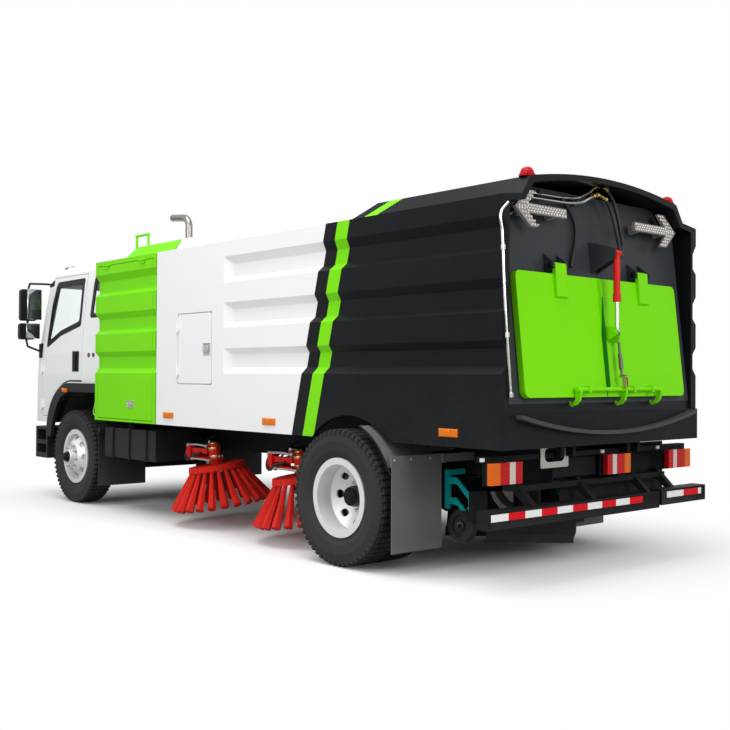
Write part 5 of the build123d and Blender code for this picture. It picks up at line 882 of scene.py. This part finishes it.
# %% Rings
def ring(outer, inner, thickness):
    """A flat ring between two outlines of as many points, given a thickness."""
    piece = begin(bpy.ops.mesh.primitive_circle_add, vertices=len(outer), fill_type="NOTHING")
    for vertex, point in zip(piece.data.vertices, outer):
        vertex.co = Vector(point) - piece.location
    bpy.ops.object.mode_set(mode="EDIT")
    bpy.ops.mesh.select_mode(type="EDGE")
    bpy.ops.mesh.select_all(action="SELECT")
    bpy.ops.mesh.extrude_region()
    done()
    for vertex, point in zip(list(piece.data.vertices)[len(outer):], inner):
        vertex.co = Vector(point) - piece.location
    bpy.ops.object.mode_set(mode="EDIT")
    bpy.ops.mesh.select_all(action="SELECT")
    bpy.ops.mesh.normals_make_consistent(inside=False)
    done()
    wall = piece.modifiers.new("wall", "SOLIDIFY")
    wall.thickness = thickness
    wall.offset = 0
    bpy.ops.object.modifier_apply(modifier=wall.name)
    bpy.ops.object.shade_smooth_by_angle()
    return piece


def window_seal(corners, width, depth):
    corners = [(FRONT_AXLE + x, z) for x, z in corners]
    edges = []
    for points in (rounded(corners, 0.036), rounded(shrink(corners, width), 0.030)):
        edges.append([(x, cab_half_width(z) - depth, z) for x, z in spread(points, 120)])
    return ring(edges[0], edges[1], 0.008)


DOOR_WINDOW = [(-0.058, 2.488), (0.652, 2.482), (0.750, 2.200),
               (0.806, 1.704), (0.440, 1.850), (-0.050, 1.950)]
QUARTER_WINDOW = [(-0.283, 2.486), (-0.240, 2.030), (-0.520, 2.030), (-0.520, 2.486)]
both_sides(window_seal(shrink(DOOR_WINDOW, 0.002), 0.066, 0.009), "door_window_seal", trim_material,
           pair("cab_door"))
both_sides(window_seal(shrink(QUARTER_WINDOW, 0.002), 0.050, 0.009), "quarter_window_seal", trim_material,
           IN_CAB)

# %% [markdown]
# ### Cab fittings
#
# Handles, mirror faces, mirror feet, side lamps and reflectors are bought parts that are bolted
# or pushed into the panels, so each stands on its panel by a few millimetres.

# %% Door handles
HANDLE_X = FRONT_AXLE + 0.012
HANDLE_Z = 1.558
handle_y = cab_half_width(HANDLE_Z)
handle = block((HANDLE_X, handle_y + 0.001, HANDLE_Z), (0.150, 0.014, 0.225))
ledge(handle, LEFT, 0.014, -0.004)
grip = block((HANDLE_X + 0.008, handle_y + 0.006, HANDLE_Z), (0.050, 0.016, 0.190))
both_sides(join([soften(handle, 0.004), soften(grip, 0.006)]), "door_handle", trim_material,
           pair("cab_door"))

# %% Mirror faces
MIRROR_X = 3.454
MIRRORS = (((MIRROR_X, 1.150, 2.225), (0.006, 0.174, 0.354)),
           ((MIRROR_X, 1.165, 1.915), (0.006, 0.164, 0.174)))
faces = [soften(crown(block(*mirror), BACK, 0.008, 0.0015), 0.002) for mirror in MIRRORS]
both_sides(join(faces), "mirror_faces", mirror_material, IN_CAB)

# %% Mirror feet
FEET = (((FRONT_AXLE + 0.800, 0.925, 2.455), (0.130, 0.045, 0.075), (0, 0.35, 0)),
        ((FRONT_AXLE + 0.925, 1.004, 1.690), (0.080, 0.060, 0.170), UPRIGHT))
feet = [soften(crown(block(*foot), LEFT, 0.010, 0.008), 0.008) for foot in FEET]
both_sides(join(feet), "mirror_feet", trim_material, IN_CAB)

# %% Lamps and reflectors on the cab
lamp = block((FRONT_AXLE + 0.220, 1.062, 1.236), (0.125, 0.014, 0.042), (0, -0.08, 0))
both_sides(soften(crown(lamp, LEFT, 0.008, 0.004), 0.003), "cab_side_lamp", amber_material, IN_CAB)

REFLECTOR_Z = 1.625
reflectors = []
for x in (FRONT_AXLE - 0.305, FRONT_AXLE - 0.412):
    disc = barrel((x, cab_half_width(REFLECTOR_Z) + 0.003, REFLECTOR_Z), 0.024, 0.010, ACROSS, 20)
    reflectors.append(crown(disc, LEFT, 0.004, 0.002))
both_sides(join(reflectors), "cab_reflectors", dull_red_material, IN_CAB)

ROOF_LAMPS = ((0.690, 2.630, 0.040, 0.040), (0.600, 2.657, 0.014, 0.016), (0.560, 2.657, 0.014, 0.016))
roof_lamps = []
for x, z, radius, deep in ROOF_LAMPS:
    dome = barrel((FRONT_AXLE + x, 0.800, z), radius, deep, UPRIGHT, 20)
    roof_lamps.append(soften(crown(dome, UP, radius * 0.3, radius * 0.45), 0.003))
both_sides(join(roof_lamps), "roof_lamps", trim_material, IN_CAB)

# %% Head lamp fittings
# A black frame holds two round lenses, one for each beam.
FRAME_X = 3.790
BEAM_Z = 1.000
lamp_frame = block((FRAME_X, 0.785, BEAM_Z), (0.008, 0.306, 0.156))
both_sides(soften(ledge(lamp_frame, AHEAD, 0.010, -0.004), 0.002), "head_lamp_frame", trim_material, IN_CAB)
beams = []
for y in (0.712, 0.848):
    beam = barrel((FRAME_X + 0.002, y, BEAM_Z), 0.056, 0.012, ALONG, 32)
    inner_face(beam, AHEAD, 0.008)
    bpy.ops.mesh.extrude_region_move(TRANSFORM_OT_translate={"value": (-0.004, 0, 0)})
    bpy.ops.mesh.inset(thickness=0.014)
    bpy.ops.transform.translate(value=(0.005, 0, 0))
    done()
    beams.append(soften(beam, 0.0015, 2))
both_sides(join(beams), "head_lamp_beams", clear_material, IN_CAB)
print("cab fittings on", cab_half_width(1.5))

# %% [markdown]
# ### Latches and side markers
#
# The locker and the compartment close with flush stainless latches: a square plate with a sunk
# middle and a handle in it. Amber markers line the body's lower edge.

# %% Latches
SIDE_Y = 1.150


def latch(x, z, width, tall):
    plate = block((x, SIDE_Y + 0.002, z), (width, 0.010, tall))
    inner_face(plate, LEFT, 0.010)
    bpy.ops.mesh.inset(thickness=0.003)
    bpy.ops.transform.translate(value=(0, -0.006, 0))
    done()
    paddle = block((x, SIDE_Y + 0.003, z), (width * 0.5, 0.008, tall * 0.62))
    return join([soften(plate, 0.002), soften(crown(paddle, LEFT, 0.008, 0.003), 0.002)])


place(latch(-0.236, 1.647, 0.118, 0.108), "locker_latch", zinc_material, "access_door")
both_sides(latch(1.150, 1.120, 0.130, 0.070), "compartment_latch", zinc_material, pair("compartment_door"))

# %% Side markers
MARKER_Z = 1.034
markers = []
for x in (REAR_AXLE + 2.600, REAR_AXLE + 1.000, REAR_AXLE - 1.043):
    base = crown(block((x, SIDE_Y + 0.005, MARKER_Z), (0.172, 0.012, 0.056)), LEFT, 0.007, 0.004)
    lens = crown(block((x, SIDE_Y + 0.012, MARKER_Z), (0.052, 0.016, 0.046)), LEFT, 0.007, 0.003)
    markers += [soften(base, 0.002), soften(lens, 0.002)]
both_sides(join(markers), "side_markers", amber_material, ON_BODY)

# %% [markdown]
# ### Rear wall
#
# The rear wall leans forward, so its pieces are placed by the distance up the wall and the
# distance out of it. The arrow boards carry rows of warm diodes.

# %% The leaning wall
LEAN = math.radians(6.5)
WALL_X = REAR_AXLE - 1.490
WALL_Z = 1.200


def on_wall(along, out, y):
    x = WALL_X + along * math.sin(LEAN) - out * math.cos(LEAN)
    z = WALL_Z + along * math.cos(LEAN) + out * math.sin(LEAN)
    return Vector((x, y, z))


# %% Diodes
BOARD_Y = 0.700
BOARD_ALONG = 1.335
BOARD_OUT = 0.111
PITCH = 0.030
shaft_rows = [(-0.270 + 0.5 * PITCH * (row % 2) + PITCH * step, row_t)
              for row, row_t in enumerate((-0.018, 0.0, 0.018)) for step in range(14)]
head_rows = []
for half in (1, -1):
    for row in range(5):
        for step in (0, 1, 2):
            head_rows.append((0.214 - 0.0305 * row - 0.0285 * step, half * (0.008 + 0.0255 * row)))
diode_places = []
for a, t in shaft_rows + head_rows:
    for side in (1, -1):
        spot = on_wall(BOARD_ALONG + t, BOARD_OUT, side * (BOARD_Y + a))
        diode_places.append(Matrix.Translation(spot))
diode = begin(bpy.ops.mesh.primitive_ico_sphere_add, subdivisions=2, radius=0.0056)
bpy.ops.object.mode_set(mode="EDIT")
bpy.ops.mesh.select_all(action="SELECT")
bpy.ops.mesh.bisect(plane_co=(0.0015, 0, 0), plane_no=(1, 0, 0), clear_outer=True)
done()
bpy.ops.object.shade_smooth()
place(repeat(diode, diode_places), "arrow_diodes", diode_material, "body")
print("diodes", len(diode_places))

# %% Lines and hoses
# Two steel lines cross the top of the wall and rise to brass elbows. Hoses hang from these in a
# bow, down to the top of the door's cylinder.
HOSE_RADIUS = 0.0125
LINE_RADIUS = 0.0100
ELBOW_RADIUS = 0.0125
LINE_ENDS = (
    [(1.495, 0.028, 0.215), (1.500, 0.040, 0.160), (1.535, 0.070, 0.080), (1.578, 0.090, 0.030)],
    [(1.451, 0.058, 0.215), (1.458, 0.068, 0.160), (1.485, 0.085, 0.105), (1.508, 0.098, 0.060)],
)
ELBOWS = (
    [(1.578, 0.090, 0.032), (1.594, 0.096, -0.015), (1.590, 0.100, -0.062), (1.573, 0.104, -0.098)],
    [(1.508, 0.098, 0.062), (1.519, 0.104, 0.020), (1.512, 0.108, -0.025), (1.494, 0.112, -0.061)],
)
HOSE_BOWS = (
    [(1.575, 0.104, -0.094), (1.506, 0.104, -0.161), (1.420, 0.106, -0.192), (1.324, 0.110, -0.207),
     (1.240, 0.125, -0.195), (1.172, 0.150, -0.162), (1.105, 0.190, -0.090), (1.050, 0.212, -0.040)],
    [(1.496, 0.112, -0.058), (1.426, 0.112, -0.112), (1.350, 0.116, -0.132), (1.280, 0.122, -0.138),
     (1.200, 0.140, -0.125), (1.128, 0.175, -0.082), (1.080, 0.200, -0.045), (1.040, 0.212, -0.020)],
)


def wall_tubes(lines, radius):
    return [tube([on_wall(*point) for point in points], radius) for points in lines]


place(join(wall_tubes(LINE_ENDS, LINE_RADIUS)), "line_ends", bright_material, "body")
elbows = wall_tubes(ELBOWS, ELBOW_RADIUS)
for points in ELBOWS:
    for along, out, y in (points[0], points[1], points[3]):
        nut = barrel(on_wall(along, out, y), 0.0185, 0.022, ACROSS, 6)
        elbows.append(soften(nut, 0.002, 1))
place(join(elbows), "brass_elbows", brass_material, "body")
hoses = join(wall_tubes(HOSE_BOWS, HOSE_RADIUS))
hoses.name = "cylinder_hoses"
hoses.data.materials.append(hose_material)
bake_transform(hoses)

# %% Edge line and conduit
EDGE_X = -3.712
EDGE_LINE = ((1.115, 2.530), (1.160, 2.490), (1.185, 2.459), (1.172, 2.340), (1.164, 2.238), (1.154, 2.060),
             (1.143, 1.902), (1.122, 1.679), (1.102, 1.488), (1.081, 1.296))
line = tube([(EDGE_X, y, z) for y, z in EDGE_LINE], 0.0085)
nuts = [barrel((EDGE_X, *EDGE_LINE[row]), 0.0165, 0.034, UPRIGHT, 6) for row in (4, 7, 9)]
place(join([line] + [soften(nut, 0.002, 1) for nut in nuts]), "edge_line", bright_material, "body")

CONDUIT = [(1.470, 0.030, 0.345), (1.440, 0.034, 0.318), (1.385, 0.030, 0.261), (1.297, 0.026, 0.210),
           (1.187, 0.026, 0.221), (1.080, 0.026, 0.262), (0.990, 0.020, 0.290)]
place(wall_tubes([CONDUIT], 0.0150)[0], "wall_conduit", hose_material, "body")

# %% Hinge pins of the tailgate
HINGE_ALONG, HINGE_OUT, HINGE_Y = 0.975, 0.062, 0.490
pins = []
for side in (1, -1):
    for edge in (1, -1):
        y = side * HINGE_Y + edge * 0.090
        head = barrel(on_wall(HINGE_ALONG, HINGE_OUT, y), 0.022, 0.010, ACROSS, 16)
        pins.append(soften(ledge(head, LEFT * edge, 0.008, 0.007), 0.002, 1))
place(join(pins), "hinge_pin_heads", trim_material, "body")

# %% [markdown]
# ### Bumper, tail and underside
#
# The rear bumper is a folded channel: its face is framed by a raised edge, with reflective tape
# inside. Small pale lamps light the plate's place above each tail lamp.

# %% Bumper frames and tape
BUMPER_FACE = -3.705
BUMPER_FRAMES = (("long", -0.625, 1.270, 0.438, 0.556), ("short", -1.270, -0.655, 0.452, 0.570))
TAPES = ((-0.406, 1.264, 0.517), (-1.210, -0.730, 0.527))
TAPE_WIDTH = 0.047
for name, low, high, bottom, top in BUMPER_FRAMES:
    centre = (BUMPER_FACE - 0.001, (low + high) / 2, (bottom + top) / 2)
    edge = ledge(block(centre, (0.006, high - low, top - bottom)), BACK, 0.007, -0.0035)
    place(soften(edge, 0.001), "bumper_frame_" + name, trim_material, "chassis")

strips = []
for low, high, z in TAPES:
    strip = block((BUMPER_FACE - 0.002, (low + high) / 2, z), (0.003, high - low, TAPE_WIDTH))
    strips.append(crown(strip, BACK, 0.0015, 0.0008))
place(join(strips), "bumper_tape", tape_material, "chassis")

# %% Plate lamps
PLATE_LAMP_X, PLATE_LAMP_Z = -3.577, 0.876
plate_lamps = []
for y in (1.203, -0.089, -0.801):
    small = block((PLATE_LAMP_X, y, PLATE_LAMP_Z), (0.014, 0.034, 0.024))
    plate_lamps.append(soften(ledge(small, BACK, 0.005, -0.003), 0.001))
place(join(plate_lamps), "plate_lamps", clear_material, "chassis")

# %% Shade plate
# Between the lamps and the bumper a folded black plate stands in for the dark wheel behind and its shade:
# partly painted shade.
SHADE_PLATE_AT, SHADE_PLATE_SIZE = (-3.452, -0.405, 0.6925), (0.008, 1.310, 0.435)
shade_plate = block(SHADE_PLATE_AT, SHADE_PLATE_SIZE)
place(soften(ledge(shade_plate, BACK, 0.022, -0.003), 0.0015, 1), "painted_shade_plate", black_material, "chassis")

# %% Hose plate
# A stainless plate with a rounded opening takes the suction hose's coupling.
PLATE_X = -3.580
plate_out = rounded([(0.315, 0.789), (0.619, 0.789), (0.619, 0.933), (0.315, 0.933)], 0.008)
plate_in = rounded([(0.357, 0.829), (0.577, 0.829), (0.577, 0.925), (0.357, 0.925)], 0.046)
outer_edge = [(PLATE_X, y, z) for y, z in spread(plate_out, 64)]
inner_edge = [(PLATE_X, y, z) for y, z in spread(plate_in, 64)]
steel_plate = ring(outer_edge, inner_edge, 0.005)
screws = []
for y, z in ((0.335, 0.806), (0.599, 0.806)):
    screws.append(crown(barrel((PLATE_X - 0.004, y, z), 0.007, 0.008, ALONG, 6), BACK, 0.002))
place(join([steel_plate] + screws), "hose_plate_face", zinc_material, "chassis")

# %% Castor caps
# Each castor's hub has a cap on both faces, 72 mm apart.
CASTOR_X = -2.825
CASTORS = (("left", 0.623, 0.3135, 1), ("right", -0.636, 0.1855, -1))
for label, y, z, away in CASTORS:
    for edge in (0, 1):
        near = y - away * 0.072 * edge
        cap = barrel((CASTOR_X, near - away * 0.016 + away * 0.012 * edge, z), 0.030, 0.010, ACROSS, 20)
        pick(cap, lambda c, n: abs(n.y) > 0.9)
        bpy.ops.mesh.inset(thickness=0.012)
        bpy.ops.transform.resize(value=(1, 1.4, 1), center_override=(CASTOR_X, near, z))
        done()
        place(soften(cap, 0.002), "castor_cap_%s_%d" % (label, edge), zinc_material, "nozzle_castor_" + label)

# %% Mudguard edges and bolts
GUARD_RADIUS = 0.585
GUARD_Y = 1.233
GUARD_FROM, GUARD_SWEEP = 112, 42
edge_points = []
for step in range(9):
    turn = math.radians(GUARD_FROM + GUARD_SWEEP * step / 8)
    back, rise = GUARD_RADIUS * math.cos(turn), GUARD_RADIUS * math.sin(turn)
    edge_points.append((REAR_AXLE + back, GUARD_Y, WHEEL_HEIGHT + rise))
edge_points.append((REAR_AXLE - 0.580, GUARD_Y, 0.700))
both_sides(tube(edge_points, 0.0055), "mudguard_edge", trim_material, ON_CHASSIS)
FLAP_X, FLAP_BOLT_Z = -2.772, 0.822
bolts = []
for y in (0.867, 1.060, 1.222):
    bolts.append(crown(barrel((FLAP_X, y, FLAP_BOLT_Z), 0.0095, 0.008, ALONG, 6), BACK, 0.003, 0.003))
both_sides(join(bolts), "mudguard_bolts", zinc_material, ON_CHASSIS)
print("tail fitted")

# %% [markdown]
# ### Brooms
#
# A broom's tufts are bundles of stiff plastic strands that spread towards their tips. The solids
# hold the bundles; loose strands round them, each a thin four-sided spike of its own length, give
# the ragged edge. On top sit the motor's brass fittings, a chromed strut, a red link with its rods
# and looped hoses.

# %% Broom axes
# Each pair of brooms: its name, the broom's x and its arm's pivot.
BROOMS = (("front", REAR_AXLE + 2.400, REAR_AXLE + 2.830), ("rear", REAR_AXLE + 1.070, REAR_AXLE + 1.500))
TILT = math.radians(9.0)
LEAN_WAY = Vector((0.66, 0.75, 0)).normalized()
BROOM_AXIS = Vector((math.sin(TILT) * LEAN_WAY.x, math.sin(TILT) * LEAN_WAY.y, math.cos(TILT)))
BROOM_Y = 0.740
BROOM_Z = 0.545
TUFTS = 24
STRANDS = 12
TUFT_ROOT = 0.238
TUFT_TIP = 0.455
TUFT_DROP = 0.330
ROOT_SPREAD = 0.012
ROOT_SUNK = 0.02
TIP_SPREAD = (0.024, 0.038)
STRAND_REACH = (0.90, 1.0)


def strand(start, end):
    """A thin spike between two points."""
    way = end - start
    turn = way.to_track_quat("Z", "Y").to_matrix().to_4x4()
    return Matrix.Translation(start.lerp(end, 0.5)) @ turn @ Matrix.Scale(way.length, 4, (0, 0, 1))


# %% Strands
random = Random(11)
for where, x, pivot in BROOMS:
    centre = Vector((x, BROOM_Y, BROOM_Z))
    first = Vector((1, 0, 0))
    first = (first - BROOM_AXIS * first.dot(BROOM_AXIS)).normalized()
    spike = begin(bpy.ops.mesh.primitive_cone_add, vertices=4, radius1=0.0021, radius2=0.0011, depth=1.0)
    pick(spike, lambda c, n: n.z > 0.9)
    bpy.ops.transform.resize(value=(0.6, 0.6, 1))
    done()
    places = []
    for tuft in range(TUFTS):
        spoke = Matrix.Rotation(2 * math.pi * tuft / TUFTS, 3, BROOM_AXIS) @ first
        aside = spoke.cross(BROOM_AXIS)
        for _ in range(STRANDS):
            turn = random.uniform(0, 2 * math.pi)
            root = centre + spoke * (TUFT_ROOT + ROOT_SPREAD * math.cos(turn))
            root += aside * ROOT_SPREAD * math.sin(turn) - BROOM_AXIS * ROOT_SUNK
            wide = random.uniform(*TIP_SPREAD)
            reach = random.uniform(*STRAND_REACH)
            tip = centre + spoke * (TUFT_TIP + wide * math.cos(turn)) + aside * wide * math.sin(turn)
            tip -= BROOM_AXIS * (0.018 + TUFT_DROP)
            places.append(strand(root, root.lerp(tip, reach)))
    both_sides(repeat(spike, places), "loose_strands_" + where, bristle_material, pair("broom_" + where))
    print(where, "broom strands", len(places))

# %% Motor fittings
# Collars close the motor's housing, two ports take its hoses, and bolts stand in a ring.
COLLARS = ((0.098, 0.0605, 0.030), (0.178, 0.0605, 0.024), (0.222, 0.040, 0.014))
PORT_UP = 0.150


def fit_motor(where, x, arm):
    centre = Vector((x, BROOM_Y, BROOM_Z))
    aim = BROOM_AXIS.to_track_quat("Z", "Y").to_euler()
    fittings = []
    for up, radius, deep in COLLARS:
        collar = barrel(centre + BROOM_AXIS * up, radius, deep, aim, 28)
        fittings.append(soften(crown(collar, BROOM_AXIS, 0.010, 0.004), 0.003))
    for aside in (-0.022, 0.022):
        mouth = centre + BROOM_AXIS * PORT_UP + Vector((0.062, aside - 0.02, 0))
        port = barrel(mouth, 0.013, 0.030, ALONG, 6)
        fittings.append(soften(crown(port, AHEAD, 0.003), 0.002, 1))
    both_sides(join(fittings), "motor_fittings_" + where, brass_material, arm)
    bolt = barrel(centre + BROOM_AXIS * 0.088 + Vector((0.066, 0, 0)), 0.008, 0.012, aim, 6)
    bolts = repeat(crown(bolt, UP, 0.002), turns_about(centre, BROOM_AXIS, 6))
    both_sides(bolts, "motor_bolts_" + where, zinc_material, arm)


# %% Struts, links and rods
# A red link with a lug at its front end keeps the broom level; a spring rod runs above it.
def ahead_of(x, *points):
    """Points whose first number is counted from x."""
    return [(x + ahead, y, z) for ahead, y, z in points]


LINKS = (((0.160, 0.825, 0.690), (0.250, 0.040, 0.050), (0, 0, 0.10)),
         ((0.300, 0.845, 0.668), (0.070, 0.060, 0.135), UPRIGHT),
         ((0.120, 0.800, 0.628), (0.230, 0.120, 0.014), UPRIGHT),
         ((0.215, 0.800, 0.640), (0.120, 0.100, 0.030), UPRIGHT))
RODS = ((((0.010, 0.850, 0.742), (0.160, 0.862, 0.750), (0.310, 0.866, 0.742)), 0.0100),
        (((-0.090, 0.880, 0.612), (0.050, 0.886, 0.618), (0.200, 0.886, 0.616)), 0.0085))


def fit_links(where, x, pivot, arm):
    ends = (pivot - 0.02, 0.560, 0.752), (x + 0.085, 0.690, 0.760)
    strut = [tube([ends[0], (x + 0.20, 0.610, 0.756), ends[1]], 0.0105)]
    for end in ends:
        eye = crown(barrel(end, 0.020, 0.024, UPRIGHT, 16), UP, 0.006, 0.003)
        strut.append(soften(eye, 0.002, 1))
    both_sides(join(strut), "arm_strut_" + where, bright_material, arm)

    plates = [block(ahead_of(x, spot)[0], size, turn) for spot, size, turn in LINKS]
    for plate in plates:
        pick(plate, lambda c, n: abs(n.y) > 0.9)
        bpy.ops.mesh.inset(thickness=0.005)
        done()
        soften(plate, 0.004)
    both_sides(join(plates), "level_link_" + where, red_material, arm)

    rods = [tube(ahead_of(x, *points), radius) for points, radius in RODS]
    for points, radius in RODS:
        for end in ahead_of(x, points[0], points[-1]):
            rods.append(soften(barrel(end, 0.0185, 0.030, ALONG, 6), 0.002, 1))
    both_sides(join(rods), "level_rods_" + where, zinc_material, arm)


# %% Broom hoses
# One hose loops round the link. Two more run from the motor's ports, past the arm's pivot, to
# the chassis.
LINK_HOSE = ((0.110, 0.850, 0.672), (0.200, 0.890, 0.640), (0.245, 0.900, 0.606), (0.295, 0.890, 0.602),
             (0.335, 0.876, 0.630), (0.336, 0.862, 0.690), (0.300, 0.850, 0.722))


def fit_hoses(where, x, pivot, arm):
    both_sides(tube(ahead_of(x, *LINK_HOSE), 0.0125), "link_hose_" + where, hose_material, arm)
    port = Vector((x, BROOM_Y, BROOM_Z)) + BROOM_AXIS * PORT_UP
    for number, (rise, bulge) in enumerate(((0.0, 0.0), (0.028, 0.035))):
        start = port + Vector((0.076, (number - 0.5) * 0.044 - 0.02, 0))
        near = ahead_of(x, (0.150, 0.735, 0.690 + rise), (0.270, 0.770 + bulge, 0.640 + rise))
        far = ahead_of(pivot, (-0.060, 0.740 + bulge, 0.610 + rise), (0.035, 0.660 + bulge, 0.640 + rise),
                       (0.050, 0.560, 0.735 + rise), (0.030, 0.480, 0.800), (0.020, 0.442, 0.815))
        loop = tube([start, *near, *far], 0.0095)
        right = other_side(loop)
        for piece, side, label in ((loop, 1, "left"), (right, -1, "right")):
            piece.name = "motor_hose_%s_%s_%d" % (where, label, number)
            piece.data.materials.append(hose_material)
            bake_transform(piece)


for where, x, pivot in BROOMS:
    arm = pair("broom_arm_" + where)
    fit_motor(where, x, arm)
    fit_links(where, x, pivot, arm)
    fit_hoses(where, x, pivot, arm)
print("brooms fitted")

# %% [markdown]
# ### Arch hose and tank caps
#
# A thin green air hose loops out behind the front wheel. The tanks have a filler cap each.

# %% Arch hose
AIR_HOSE = [(1.915, 1.085, 1.150), (1.945, 1.100, 1.155), (1.985, 1.105, 1.120), (2.020, 1.105, 1.060),
            (2.035, 1.105, 1.010), (2.010, 1.105, 0.985), (1.960, 1.100, 0.990), (1.918, 1.085, 1.000)]
both_sides(tube(AIR_HOSE, 0.0055), "air_hose", thin_green_material, ON_CHASSIS)

# %% Tank straps and caps
TANK_Y, TANK_Z = 1.057, 0.712
straps = []
for x in (1.005, 1.350, 1.695):
    strap = block((x, TANK_Y, TANK_Z), (0.034, 0.007, 0.300))
    straps.append(soften(crown(strap, LEFT, 0.003, 0.002), 0.001, 1))
both_sides(join(straps), "tank_straps", trim_material, ON_CHASSIS)
cap = ledge(barrel((1.520, 0.900, 0.874), 0.055, 0.030, UPRIGHT, 24), UP, 0.012, 0.010)
both_sides(soften(cap, 0.003), "tank_cap", trim_material, ON_CHASSIS)
print("all pieces fitted")

# %% [markdown]
# ## Floor
#
# A plain pale floor keeps the truck's soft shadow. Away from the truck it turns into the same
# plain white as the world behind it, but only for the camera, so no horizon shows. What it throws
# back at the truck is darker than what the camera sees, so the underside isn't lit too strongly.

# %% Floor
FLOOR_WHITE = (0.93, 0.93, 0.93)
FLOOR_BOUNCE = (0.42, 0.42, 0.42)
SHADOW_REACH = 0.0
PLAIN_FROM = 2.5
HALF_LONG, HALF_WIDE = 2.5, 0.9
floor = begin(bpy.ops.mesh.primitive_plane_add, size=120, location=(0, 0, -0.001))
floor.name = "studio_floor"
floor_finish = Finish("studio_floor", FLOOR_WHITE, 0.9, vary=0.005, gloss=0.1)
maths = floor_finish.maths
camera_ray = floor_finish.add("LightPath").outputs["Is Camera Ray"]
floor_finish.over(maths("SUBTRACT", 1.0, camera_ray), FLOOR_BOUNCE)
floor_material = floor_finish.close(dust=0.0, bump=0.0)
outside = []
for axis, half in ((floor_finish.x, HALF_LONG), (floor_finish.y, HALF_WIDE)):
    far = maths("SUBTRACT", maths("ABSOLUTE", axis), half)
    outside.append(maths("MAXIMUM", far, 0.0))
away = maths("MULTIPLY_ADD", outside[0], outside[0], maths("MULTIPLY", outside[1], outside[1]))
fade = floor_finish.add("MapRange", {"Value": maths("SQRT", away), "From Min": SHADOW_REACH,
                                     "From Max": PLAIN_FROM}, interpolation_type="SMOOTHSTEP")
shown = maths("MULTIPLY", fade.outputs[0], camera_ray)
plain = floor_finish.add("Emission", {"Strength": 1.0})
joined = {0: shown, 1: floor_finish.shader.outputs[0], 2: plain.outputs[0]}
faded = floor_finish.add("MixShader", joined)
floor_finish.tree.links.new(faded.outputs[0], floor_finish.out.inputs[0])
floor.data.materials.append(floor_material)
